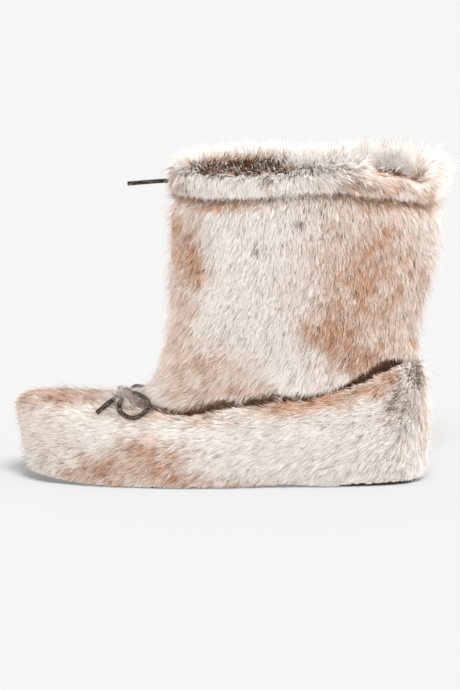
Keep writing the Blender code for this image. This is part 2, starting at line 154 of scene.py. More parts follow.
# Routes of the leather cords
ROUTES = {
    "collar_cord": [(-138.6, 0, 210.2), (-148, 0, 210.4), (-160, 0, 209.6), (-174.5, 0, 208.4)],
    "instep_loop": [
        (-173.4, -8.2, 61.8), (-168.6, -16.0, 62.8), (-163.8, -24.9, 61.9), (-160.6, -31.8, 59.8),
        (-159.6, -39.2, 57.2), (-161.4, -46.2, 54.4), (-165.6, -51.4, 51.8), (-170.8, -50.8, 50.2),
        (-175.7, -49.4, 51.5), (-178.9, -48.2, 54.6), (-179.8, -44.8, 58.4), (-178.5, -33.0, 60.6),
        (-177.9, -16.0, 61.1), (-177.6, -8.3, 61.4),
    ],
    "instep_end": [
        (-181.0, -4.2, 61.4), (-181.9, -19.0, 61.2), (-183.6, -33.0, 61.1), (-186.6, -43.8, 60.3),
        (-190.8, -47.0, 57.0), (-195.4, -48.4, 53.4),
    ],
    "instep_far_loop": [
        (-173.4, 2.2, 61.9), (-169.9, 13.0, 63.8), (-165.8, 24.4, 62.4), (-160.8, 33.0, 59.6),
        (-160.7, 41.8, 56.4), (-164.0, 48.4, 53.0), (-168.6, 53.6, 51.2), (-173.8, 52.8, 50.0),
        (-179.1, 50.6, 53.2), (-181.0, 44.8, 58.0), (-179.8, 32.4, 60.5), (-178.3, 16.2, 60.9),
        (-177.6, 2.3, 61.5),
    ],
}
ROUTE_STEP = 1.5
KNOT_MIDDLE = (-175.5, -3.0, 62.0)
KNOT_TURNS = 2
KNOT_POINTS = 49
KNOT_RADIUS = 1.8
KNOT_HALF = 2.6
KNOT_CORD_RADIUS = 1.5

# The way the nap lies, seen from the outer side: degrees round from the heel-ward direction, 270 is down.
NapMark = namedtuple("NapMark", "x z angle")
UPPER_NAP = [NapMark(*row) for row in (
    (-245, 45, 188), (-240, 25, 200), (-235, 8, 235), (-205, 62, 180),
    (-215, 35, 185),
    (-195, 8, 222), (-150, 45, 184), (-150, 8, 222), (-90, 45, 184),
    (-90, 8, 222), (-30, 55, 188), (-30, 30, 188), (-30, 8, 225),
    (5, 45, 190), (8, 25, 208), (5, 8, 240), (20, 75, 195),
    (18, 50, 200), (20, 30, 222), (24, 8, 262),
)]
SHAFT_NAP = [NapMark(*row) for row in (
    (-150, 75, 215), (-135, 110, 238), (-135, 185, 262), (-80, 75, 228),
    (-80, 120, 246), (-80, 190, 266), (-20, 85, 240), (-20, 130, 258),
    (-20, 190, 272), (25, 100, 252), (35, 190, 272),
)]
CUFF_NAP = [NapMark(*row) for row in (
    (-134, 211, 325), (-132, 220, 330), (-131, 205, 305), (-119, 213, 285),
    (-100, 213, 271), (-72, 213, 266), (-50, 213, 280), (-28, 213, 304),
    (0, 213, 310), (25, 209, 302), (40, 206, 285),
)]

# Brown and dark patches of the pile, seen from the outer side: middle, reach, and how strong
Patch = namedtuple("Patch", "x z reach_x reach_z brown dark")
PATCHES = [Patch(*row) for row in (
    # Front of the shaft
    (-135, 183, 10, 11, 1.00, 0.04),
    (-132, 158, 11, 14, 1.00, 0.08),
    (-134, 170, 15, 28, 0.75, 0.03),
    (-138, 108, 12, 36, 0.40, 0.02),
    (-138, 130, 15, 50, 0.40, 0.02),
    (-122, 88, 34, 26, 0.42, 0.03),
    # Back of the shaft
    (-2, 150, 46, 62, 0.58, 0.03),
    (-33, 189, 14, 10, 0.40, 0.03),
    (-1, 180, 22, 14, 0.50, 0.03),
    (-19, 154, 26, 17, 0.60, 0.04),
    (-8, 152, 14, 14, 0.85, 0.07),
    (-33, 133, 16, 16, 0.65, 0.04),
    (-8, 133, 14, 12, 0.90, 0.10),
    (-26, 112, 22, 14, 0.95, 0.12),
    (-47, 119, 10, 16, 0.45, 0.03),
    (-8, 96, 17, 9, 0.95, 0.16),
    (12, 133, 18, 40, 0.45, 0.03),
    (27, 160, 12, 30, 0.35, 0.02),
    (16, 101, 14, 12, 0.50, 0.05),
    # Foot of the shaft, above the slit; the rows darkest there are painted shade of the slit and of the
    # bow's knot
    (-92, 74, 22, 5, 0.80, 0.04),
    (-117, 73, 18, 8, 0.38, 0.03),
    (-134, 70, 14, 8, 0.40, 0.03),
    (-158, 58, 11, 4, 0.60, 0.90),
    (-157, 57.5, 7, 4, 0.90, 0.90),
    (-134, 57, 14, 3.5, 0.70, 0.80),
    (-113, 60, 16, 5, 0.80, 1.00),
    (-74, 64, 20, 5, 0.80, 1.00),
    (-40, 67, 18, 3.5, 0.80, 0.80),
    (0, 85, 22, 6, 0.70, 0.20),
    # Under the slit
    (-61, 57, 22, 4.5, 0.72, 0.05),
    (-33, 63, 20, 5, 0.88, 0.06),
    (-8, 70, 18, 4.5, 0.82, 0.08),
    (10, 77, 12, 4, 0.85, 0.10),
    (-152, 51, 24, 4, 0.45, 0.03),
    (-113, 50, 26, 3, 0.38, 0.03),
    # Side of the toe
    (-187, 16, 26, 10, 0.62, 0.04),
    (-166, 26, 14, 14, 0.62, 0.06),
    (-148, 20, 20, 14, 0.66, 0.05),
    (-131, 7, 22, 8, 0.78, 0.09),
    (-211, 11, 20, 6, 0.55, 0.04),
    (-100, 4, 26, 6, 0.70, 0.04),
    # Top and front of the toe
    (-236, 63, 14, 5, 0.65, 0.03),
    (-213, 61, 24, 4.5, 0.65, 0.03),
    (-190, 59, 12, 5, 0.65, 0.05),
    (-246, 46, 8, 20, 0.30, 0.02),
    (-225, 38, 28, 24, 0.16, 0.01),
    # Heel; its first row is painted shade where the slit ends at the top of the heel
    (19, 87, 5, 1.8, 0.60, 0.75),
    (17, 64, 7, 18, 0.25, 0.48),
    (18, 42, 6, 12, 0.15, 0.24),
    (33, 55, 8, 34, 0.25, 0.02),
    (12, 22, 8, 10, 0.10, 0.12),
    # Cuff
    (-22, 213, 14, 8, 0.60, 0.32),
    (9, 214, 22, 8, 0.50, 0.05),
    (30, 202, 12, 8, 0.45, 0.05),
    (2, 212, 46, 18, 0.28, 0.02),
    # Dark tufts
    (-139, 213, 7, 10, 0.35, 0.24),
    (-76, 218, 4, 4, 0.40, 0.33),
    (-55, 190, 4.5, 2.4, 0.30, 0.55),
    (-52, 195, 1.8, 5.0, 0.20, 0.40),
    (-85, 173, 1.8, 3.4, 0.20, 0.55),
    (-81, 169, 2.0, 3.0, 0.20, 0.40),
    (-40, 201, 2.4, 4.0, 0.30, 0.50),
)]

# Colours, linear
CREAM = (0.965, 0.945, 0.91)
# cream roots, darkened as painted shade low in the pile
CREAM_ROOT_SHADE = (0.77, 0.68, 0.59)
# greyer tone of some strands at random, also used for painted shade
FADED_AND_SHADED = (0.54, 0.46, 0.395)
LIGHT_BROWN = (0.70, 0.365, 0.195)
ROOT_BROWN = (0.33, 0.145, 0.07)
DEEP_BROWN = (0.135, 0.058, 0.026)
SOOT = (0.06, 0.028, 0.014)
SKIN = (0.50, 0.40, 0.33)
SKIN_PALE = (0.64, 0.54, 0.46)
LINING = (0.075, 0.042, 0.026)
LINING_PALE = (0.17, 0.10, 0.065)
LEATHER = (0.013, 0.009, 0.006)
# paler leather: wear, and painted highlight
LEATHER_WORN_AND_GLINT = (0.27, 0.20, 0.15)
LEATHER_CORE = (0.48, 0.22, 0.10)
LEATHER_CORE_DARK = (0.16, 0.065, 0.03)
RUBBER = (0.014, 0.014, 0.015)
RUBBER_SCUFF = (0.06, 0.058, 0.055)
THREAD = (0.10, 0.10, 0.105)
THREAD_PALE = (0.42, 0.42, 0.43)
FLOOR_GREY = (0.076, 0.076, 0.076)
WHITE = (1.0, 1.0, 1.0)

# Studio and camera, in metres, with the spread of each light in degrees
Sun = namedtuple("Sun", "name energy spread way")
BOOT_SUNS = [
    Sun("front light", 1.85, 70, (-0.12, 0.90, -0.45)),
    Sun("heel light", 1.30, 50, (-0.85, 0.25, -0.45)),
    Sun("toe light", 0.45, 70, (0.85, 0.15, -0.40)),
    Sun("back light", 0.8, 60, (-0.10, -0.90, -0.45)),
]
FLOOR_SUN = Sun("floor light", 34.0, 22, (-0.16, 1.25, -1.0))
SURROUND = 1.36
FLOOR_GLOW = 0.26
FLOOR_HALF = 9.0
PICTURE_WIDTH = 0.322  # at the boot
CAMERA_FAR = 4.5
CAMERA_ELEVATION = math.radians(7)
CAMERA_TARGET = (-0.1029, 0, 0.0949)
CAMERA_CLIP = 50
SENSOR_MM = 36.0

# Each coat of fur: how many strands a piece has, how far apart its locks are, lengths and thickness
Coat = namedtuple("Coat", "strands lock length rise depth width gather seed")
UPPER_COAT = Coat(95000, 1.5, 10.5, 5.9, 5.0, 0.34, 0.75, 11)
SHAFT_COAT = Coat(95000, 1.4, 8.5, 5.9, 5.0, 0.34, 0.60, 23)
CUFF_COAT = Coat(95000, 1.9, 10.5, 6.4, 5.4, 0.34, 0.90, 37)
SLIT_COAT = Coat(9000, 1.0, 4.5, 2.4, 0.0, 0.36, 0.60, 41)
INNER_SHARE = 0.92  # of the outer side's strands, on the inner side
UPPER_ROWS = 49  # rows of each pelt
SHAFT_ROWS = 61
CUFF_ROWS = 57
SLIT_ROWS = 9
UPPER_LINING_ROWS = (48, 42, 36, 30, 24, 18, 14)  # the rows that each lining follows, from the top
SHAFT_LINING_ROWS = (45, 30, 18, 9, 4)
SHAFT_FULL_ROW = 18  # the shaft's wall thins to its sock below this row
CUFF_SKIN_SHARE = 0.7  # of the cuff's rings, from its seam; the rest are lining
SHAFT_PROFILE = 150.0  # length of the shaft's face from the slit to the cuff's seam
CUFF_PROFILE = 55.0  # length of the cuff's face from its seam over the rim and down inside
Growth = namedtuple("Growth", "nap long tall loose brown dark grey turn")  # of each strand

# How strands differ: ranges of their size, rise and width, in a lock and each on its own
LOCK_SIZE = (0.8, 1.2)
STRAND_SIZE = (0.75, 1.15)
LOCK_RISE = (0.75, 1.2)
STRAND_RISE = (0.8, 1.15)
STRAND_WIDTH = (0.6, 1.3)
BEND_PLACE = 0.45  # where a strand bends, along it, and its rise there
BEND_RISE = 0.75
LOCK_SCATTER = 0.6  # columns
LOCK_SWING = 0.20  # radians
STRAND_SWING = 0.24
STRAND_ROLL = 0.45
STRAY_SHARE = 0.10  # hairs that leave their lock
STRAY_SIZE = 1.15
STRAY_RISE = (1.3, 2.0)
STRAY_WIDTH = 0.4
LEAST_GATHER = 0.1  # of a tip toward the middle of its lock's tips, and all that a stray has
CLUMPED_SHARE = 0.7  # hairs that take their lock's tone
LOCK_TILT = 0.14  # how far the strands' shading leans: by lock, each on its own, and along the strand
STRAND_TILT = 0.22
FORWARD_TILT = 0.25
HEM_RAGGED = 0.9  # how uneven the tips are that meet the floor
PLASTIC = 1.3247179572  # steps of one over it and over its square spread places evenly over a pelt
SPREAD_JITTER = 0.15
NO_TURN = np.zeros(3)  # for strands with no turn but the edges' own

# Ripples: how strong, and over how many millimetres
WAVES = 8  # in each ripple
WAVE_SPREAD = (0.6, 1.5)
SWING_RIPPLES = ((0.18, 26), (0.16, 9))
LUMP_RIPPLES = ((1.0, 9), (0.8, 5))
DARK_RIPPLES = ((0.9, 4),)
MOTTLE_RIPPLES = ((0.42, 13), (0.34, 6))
MOTTLE_MIDDLE = 1.12
WANDER = 6.0  # how far the patches' edges wander, less on those lower than CALM_REACH
WANDER_WAVES = (38, 31)  # along X and Z
CALM_REACH = 14.0
NAP_BLEND = 60.0  # square millimetres over which the nap's marks blend

# How near the strands come to the floor, and the lift that bares the sole's edge at the heel
HEM_CLEAR = 0.4
HEEL_CLEAR = 4.6
HEEL_CLEAR_X = -34.0
HEEL_CLEAR_FADE = 22.0
HEEL_RAGGED = (0.3, 1.2)  # range of that lift, by lock
SOLE_SHARE = 0.8  # of the sole's own lift that the strands keep
BEND_CLEAR = 0.3  # how far above that their bends stay

# Soft round bumps where the hair differs
Bump = namedtuple("Bump", "middle reach")
BOW_TUFT = Bump((-173.0, -16.0, 62.0), (11.0, 22.0, 9.0))  # hair that falls over the bow's knot
BOW_TUFT_DENSITY = 6.0
TOE_FLAT = Bump((-238.0, 4.0, 52.0), (46.0, 50.0, 34.0))  # hair that lies flat on the toe
THROAT = Bump((-152.0, 0.0, 84.0), (16.0, 45.0, 18.0))  # hair that lies flat above the instep
LOW_FRONT = Bump((-122.0, 0.0, 84.0), (38.0, 90.0, 30.0))  # greyer hair low on the shaft's front
TOE_TUFT = Bump((-236.0, 4.0, 16.0), (18.0, 44.0, 13.0))  # hair that stands off the foot of the toe
HEEL_TUFT = Bump((28.0, 0.0, 80.0), (10.0, 26.0, 12.0))  # hair that stands off the top of the heel

LUMP_HEIGHT = 0.10  # how uneven the pile is over a few millimetres: in height, and in painted shade, greyer in the hollows between lumps
LUMP_SHADE = 0.16
MOST_FADE_AND_SHADE = 1.2  # of a strand, toward the greyer tone: partly random tone, partly painted shade
SLIT_DEPTH = 7.0  # how far down inside the slit its hair grows
SLIT_OVERLAP = 1.0  # how far up behind the shaft's lower edge it starts
SLIT_NAP = np.array([-0.3, 0.0, -1.0])
PALE_SHARE = 0.05  # of the hair in the cuff's parting, painted dark as shade, that stays pale
RIM_TURN = 0.9  # how far the strands on the cuff's rim face outward
END_TURN = 0.9  # how far those at its front and back ends face the near side
PROUD_SHARE = 0.03  # how far strands may stand past the solids' box: a share of its side and a margin
PROUD = 8.5
EDGE_TURN = 0.7  # how far the strands face the side, so that their lit faces show along the outline
EDGE_SPLIT = 0.2  # strands whose normal leans less than this to the inner side face the outer side
EDGE_GLOW = 0.3  # how far the strands' shading turns to the side, as light passes through the pile
LYING = (0.3, 0.7)  # upward part of the normal, between which both of these turns die away


def closed_spline(knots, values, places):
    """A smooth closed curve through values, one for each knot but the last, read at places."""
    count = len(values)
    step = np.diff(knots)
    slope = (np.roll(values, -1, axis=0) - values) / step[:, None]
    system = np.zeros((count, count))
    for i in range(count):
        before = step[i - 1]
        system[i, i - 1] += before
        system[i, i] += 2 * (before + step[i])
        system[i, (i + 1) % count] += step[i]
    bend = np.linalg.solve(system, 6 * (slope - np.roll(slope, 1, axis=0)))
    span = np.clip(np.searchsorted(knots, places, side="right") - 1, 0, count - 1)
    after = (span + 1) % count
    h = step[span][:, None]
    left = knots[span + 1][:, None] - places[:, None]
    right = places[:, None] - knots[span][:, None]
    return (
        (bend[span] * left**3 + bend[after] * right**3) / (6 * h)
        + (values[span] / h - bend[span] * h / 6) * left
        + (values[after] / h - bend[after] * h / 6) * right
    )


def sections():
    """Each column of the stations table at COLUMNS places round the foot."""
    columns = Station._fields[1:]
    table = np.array([row[1:] for row in STATIONS], float)
    sole = table[:, [columns.index("sole_x"), columns.index("sole_y")]]
    top = table[:, [columns.index("top_x"), columns.index("top_y")]]
    chords = sum(np.linalg.norm(np.roll(line, -1, axis=0) - line, axis=1) for line in (sole, top))
    chords = chords + chords[::-1]
    knots = np.concatenate([[0.0], np.cumsum(chords)])
    places = np.linspace(0, knots[-1], COLUMNS, endpoint=False)
    read = closed_spline(knots, table, places)
    return {name: read[:, i] for i, name in enumerate(columns)}


def outward(ring_points):
    """Unit vectors that point out of a closed ring, seen from above."""
    along = np.roll(ring_points, -1, axis=0) - np.roll(ring_points, 1, axis=0)
    out = unit(np.stack([along[:, 1], -along[:, 0]], axis=1))
    middle = ring_points[:, :2].mean(axis=0)
    inside_out = np.sum(out * (ring_points[:, :2] - middle)) < 0
    return -out if inside_out else out


def ring(plan, z):
    return np.column_stack([plan, np.broadcast_to(z, len(plan))])


def bezier(points, v):
    a, b, c, d = points
    w = 1 - v
    return w**3 * a + 3 * w * w * v * b + 3 * w * v * v * c + v**3 * d


def smooth_step(t):
    t = np.clip(t, 0, 1)
    return t * t * (3 - 2 * t)


def fade_in(places, start, end):
    """0 up to start, 1 from end on, and a smooth rise between; end may be the lower of the two."""
    return smooth_step((places - start) / (end - start))


def hump(places, middle, reach):
    """A smooth hump that is 1 at middle and mostly gone past reach on both sides."""
    return np.exp(-(((places - middle) / reach) ** 2))


def between(before, start, end, after, t):
    """A point at t from start to end on a smooth curve through four points."""
    return (
        start
        + 0.5 * t * (end - before)
        + t * t * (before - 2.5 * start + 2 * end - 0.5 * after)
        + t**3 * (1.5 * (start - end) + 0.5 * (after - before))
    )


def unit(vectors):
    return vectors / np.maximum(np.linalg.norm(vectors, axis=-1, keepdims=True), 1e-9)


def strand_box():
    """The box that the strands' tips stay in: a little past the solids' own box."""
    low, high = np.array(cad_box) / MM
    proud = PROUD_SHARE * (high - low) + PROUD
    return low - proud, high + proud


STRAND_BOX = strand_box()
FOOT = sections()
SOLE_PLAN = np.column_stack([FOOT["sole_x"], FOOT["sole_y"]])
SOLE_OUT = outward(SOLE_PLAN)
TOP_PLAN = np.column_stack([FOOT["top_x"], FOOT["top_y"]])
TOP_OUT = outward(TOP_PLAN)


def toe_spring(x):
    return TOE_SPRING * np.clip((SPRING_START_X - x) / (SPRING_START_X - TOE_X), 0, None) ** 2


def underside(x):
    arch = np.clip((x - ARCH_FRONT_X) / (ARCH_BACK_X - ARCH_FRONT_X), 0, 1)
    return toe_spring(x) + ARCH_LIFT * np.sin(math.pi * arch) ** 2


def sole_top(x):
    return toe_spring(x) + SOLE_THICK


def upper_face(v):
    """The upper's fur face from hem, v = 0, to topline, v = 1, as a ring."""
    hem_plan = SOLE_PLAN + SOLE_OUT * FOOT["hem_out"][:, None]
    belly_plan = SOLE_PLAN + SOLE_OUT * FOOT["belly_out"][:, None]
    shoulder_plan = TOP_PLAN + (belly_plan - TOP_PLAN) * FOOT["fullness"][:, None]
    hem = ring(hem_plan, underside(hem_plan[:, 0]) + HEM_LIFT)
    belly = ring(belly_plan, FOOT["belly_z"])
    shoulder = ring(shoulder_plan, FOOT["shoulder_z"])
    return bezier((hem, belly, shoulder, ring(TOP_PLAN, FOOT["top_z"])), v)


def leg_plan(out=0.0):
    """The leg's rounded section, facing the same way round as the foot's columns."""
    middle = (LEG_FRONT_X + LEG_BACK_X) / 2
    half_length = (LEG_BACK_X - LEG_FRONT_X) / 2 + out
    half_width = LEG_HALF_WIDTH + out
    turn = np.linspace(0, 2 * math.pi, COLUMNS, endpoint=False)
    front = np.cos(turn)
    side = np.sin(turn)
    x = middle - half_length * np.sign(front) * np.abs(front) ** (2 / LEG_SQUARE)
    y = -half_width * np.sign(side) * np.abs(side) ** (2 / LEG_SQUARE)
    return np.column_stack([x, y])


def round_leg(marks):
    """A table of marks round the leg, read at each column."""
    knots = np.array([turn for turn, amount in marks] + [360.0])
    amounts = np.array([[amount] for turn, amount in marks])
    return closed_spline(knots, amounts, np.linspace(0, 360, COLUMNS, endpoint=False))[:, 0]


RIM_DROP = np.maximum(round_leg(RIM), 0)
SEAM_LIFT = round_leg(SEAM)


def shaft_face(v):
    """The shaft's fur face from the slit over the topline, v = 0, to the cuff's seam, v = 1."""
    start = ring(TOP_PLAN, FOOT["top_z"] + LIP_RISE + FOOT["slit"])
    bend_plan = TOP_PLAN - TOP_OUT * FOOT["rise_in"][:, None]
    bend = ring(bend_plan, start[:, 2] + FOOT["rise_z"])
    straight = ring(leg_plan(), SEAM_Z - SHOULDER_DROP)
    face = bezier((start, bend, straight, ring(leg_plan(), SEAM_Z + SEAM_LIFT)), v)
    pinch = SEAM_PINCH * smooth_step((v - 1 + SEAM_FADE) / SEAM_FADE)
    face[:, :2] += leg_plan(-pinch) - leg_plan()
    return face


def cuff_face(v):
    """The cuff's face from its seam, v = 0, over the rim and down inside, v = 1."""
    place = v * (len(CUFF_RINGS) - 1)
    i = min(int(place), len(CUFF_RINGS) - 2)
    t = place - i
    table = np.array(CUFF_RINGS)
    out, z = between(*(table[np.clip(i + k, 0, len(table) - 1)] for k in (-1, 0, 1, 2)), t)
    share = (z - SEAM_Z - GAP) / (table[:, 1].max() - SEAM_Z - GAP)
    return ring(leg_plan(out), z + SEAM_LIFT * (1 - share) - RIM_DROP * share)


class Pelt:
    """A fur face as a fine grid of points and normals, rows by columns."""

    def __init__(self, face, rows):
        self.points = np.array([face(v) for v in np.linspace(0, 1, rows)])
        up = np.gradient(self.points, axis=0)
        along = np.roll(self.points, -1, axis=1) - np.roll(self.points, 1, axis=1)
        normals = unit(np.cross(along, up))
        middle = self.points.reshape(-1, 3).mean(axis=0)
        inside_out = np.sum((normals * (self.points - middle))[rows // 4, :, :2]) < 0
        self.normals = -normals if inside_out else normals
        self.area = np.linalg.norm(np.cross(along, up), axis=2)
        self.upward = unit(up)

    def sunk(self, row, depth):
        """A row's points, moved in by depth."""
        return self.points[row] - self.normals[row] * depth

    def spread(self, count, first, last, seed):
        """Places spread evenly over the columns from first to last: column and row, both with fractions."""
        chance = np.random.default_rng(seed)
        area = self.area[:, first:last].T
        rows = area.shape[1]
        by_column = np.cumsum(area.sum(axis=1))
        by_column = np.concatenate([[0.0], by_column / by_column[-1]])
        cells = 0.5 * (area[:, 1:] + area[:, :-1])
        by_row = np.concatenate([np.zeros((len(area), 1)), np.cumsum(cells, axis=1)], axis=1)
        by_row /= by_row[:, -1:]
        index = np.arange(count)
        jitter = SPREAD_JITTER / math.sqrt(count)
        a, b = ((0.5 + index / PLASTIC**k + chance.normal(0, jitter, count)) % 1 for k in (1, 2))
        column = np.interp(a, by_column, np.arange(len(by_column)))
        whole = np.clip(column.astype(int), 0, len(area) - 1)
        flat = (by_row + np.arange(len(area))[:, None]).ravel()
        spot = np.clip(np.searchsorted(flat, whole + b, side="right") - 1 - whole * rows, 0, rows - 2)
        low = by_row[whole, spot]
        high = by_row[whole, spot + 1]
        row = spot + np.clip((b - low) / np.maximum(high - low, 1e-12), 0, 1)
        return first + column, row

    def read(self, grid, column, row):
        """Values of a grid at places with fractions."""
        i = np.floor(column).astype(int)
        j = np.clip(np.floor(row).astype(int), 0, len(grid) - 2)
        s = (column - i)[:, None]
        t = (row - j)[:, None]
        a = i % COLUMNS
        b = (i + 1) % COLUMNS
        low = grid[j, a] * (1 - s) + grid[j, b] * s
        high = grid[j + 1, a] * (1 - s) + grid[j + 1, b] * s
        return low * (1 - t) + high * t


def ripple(points, wave, seed):
    """Smooth random values, mostly within -1 and 1, that change over about wave millimetres."""
    chance = np.random.default_rng(seed)
    ways = unit(chance.normal(size=(WAVES, 3))) * chance.uniform(*WAVE_SPREAD, (WAVES, 1))
    phase = chance.uniform(0, 2 * math.pi, WAVES)
    return np.sin(points @ ways.T * (2 * math.pi / wave) + phase).sum(axis=1) / math.sqrt(2 * WAVES)


def ripples(points, table, seed):
    """The sum of a table's ripples, each with the next seed."""
    return sum(strength * ripple(points, wave, seed + k) for k, (strength, wave) in enumerate(table))


def nap_at(points, marks):
    """Unit vectors of the nap, seen from the side, at points."""
    total = np.zeros((len(points), 2))
    for mark in marks:
        far = (points[:, 0] - mark.x) ** 2 + (points[:, 2] - mark.z) ** 2
        weight = 1 / (far + NAP_BLEND) ** 1.5
        angle = math.radians(mark.angle)
        total += weight[:, None] * np.array([math.cos(angle), math.sin(angle)])
    flat = unit(total)
    return np.column_stack([flat[:, 0], np.zeros(len(points)), flat[:, 1]])


def patches_at(points):
    """How brown and how dark the pile is at points: the patches, broken up by ripples."""
    brown = np.zeros(len(points))
    dark = np.zeros(len(points))
    wander_x, wander_z = (WANDER * ripple(points, wave, 5 + k) for k, wave in enumerate(WANDER_WAVES))
    for patch in PATCHES:
        calm = min(1.0, patch.reach_z / CALM_REACH)
        dx = (points[:, 0] + calm * wander_x - patch.x) / patch.reach_x
        dz = (points[:, 2] + calm * wander_z - patch.z) / patch.reach_z
        here = np.exp(-(dx * dx + dz * dz))
        brown = np.maximum(brown, patch.brown * here)
        dark = np.maximum(dark, patch.dark * here)
    dark *= np.clip(1 + ripples(points, DARK_RIPPLES, 9), 0, 2)
    mottle = MOTTLE_MIDDLE + ripples(points, MOTTLE_RIPPLES, 7)
    return np.clip(brown * mottle, 0, 1), np.clip(dark, 0, 1)


def bump_at(points, bump):
    """How far points lie within a soft round bump, from 0 to 1."""
    return np.exp(-np.sum(((points - bump.middle) / np.array(bump.reach)) ** 2, axis=1))


def placed(name, mesh):
    """The mesh as an object that rides on the part's one body."""
    obj = bpy.data.objects.new(name, mesh)
    bpy.context.scene.collection.objects.link(obj)
    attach(obj, "root")
    return obj


def mesh_piece(name, points, faces, finishes):
    """An object of a mesh in millimetres; faces is a list of vertex tuples."""
    mesh = bpy.data.meshes.new(name)
    mesh.from_pydata([tuple(p) for p in np.asarray(points) * MM], [], faces)
    mesh.validate()
    mesh.shade_smooth()
    for finish in finishes:
        mesh.materials.append(finish)
    return placed(name, mesh)


def float_attribute(mesh, name, values):
    mesh.attributes.new(name, "FLOAT", "POINT").data.foreach_set("value", values.astype(np.float32))


def locks_of(face, pelt, coat, first, last, chance):
    """The lock that each strand at face belongs to, and how many locks there are."""
    count = int(pelt.area[:, first:last].sum() / 2 / coat.lock**2)
    column, row = pelt.spread(count, first, last, coat.seed + first + 1)
    column = column + chance.normal(0, LOCK_SCATTER, count)
    tree = KDTree(count)
    for i, point in enumerate(pelt.read(pelt.points, column, row)):
        tree.insert(point, i)
    tree.balance()
    return np.fromiter((tree.find(point)[1] for point in face), int, len(face)), count


def ribbon_mesh(name, root, bend, half, tip, facing):
    """Ribbons from root to tip that reach half to each side at the bend, with their fronts toward facing.

    Each has a cell of its own in the UV layer.
    """
    count = len(root)
    points = np.stack([root, bend - half, bend + half, tip], axis=1)
    outside = np.sum(np.cross(half, tip - root) * facing, axis=1) > 0
    order = np.where(outside[:, None], [0, 2, 1, 1, 2, 3], [0, 1, 2, 2, 1, 3])
    corners = (order + 4 * np.arange(count)[:, None]).ravel()
    mesh = bpy.data.meshes.new(name)
    mesh.vertices.add(4 * count)
    mesh.loops.add(6 * count)
    mesh.polygons.add(2 * count)
    mesh.vertices.foreach_set("co", (points * MM).ravel().astype(np.float32))
    mesh.loops.foreach_set("vertex_index", corners.astype(np.int32))
    mesh.polygons.foreach_set("loop_start", np.arange(0, 6 * count, 3, dtype=np.int32))
    mesh.update(calc_edges=True)

    cells = math.ceil(math.sqrt(count))
    cell = np.stack([np.arange(count) % cells, np.arange(count) // cells], axis=1)[:, None, :]
    spot = np.array([(0.5, 0.1), (0.15, 0.5), (0.85, 0.5), (0.5, 0.9)])
    place = ((cell + spot[None]) / cells).reshape(-1, 2)
    layer = mesh.uv_layers.new(name="OFBake")
    layer.data.foreach_set("uv", place[corners].ravel().astype(np.float32))
    return mesh


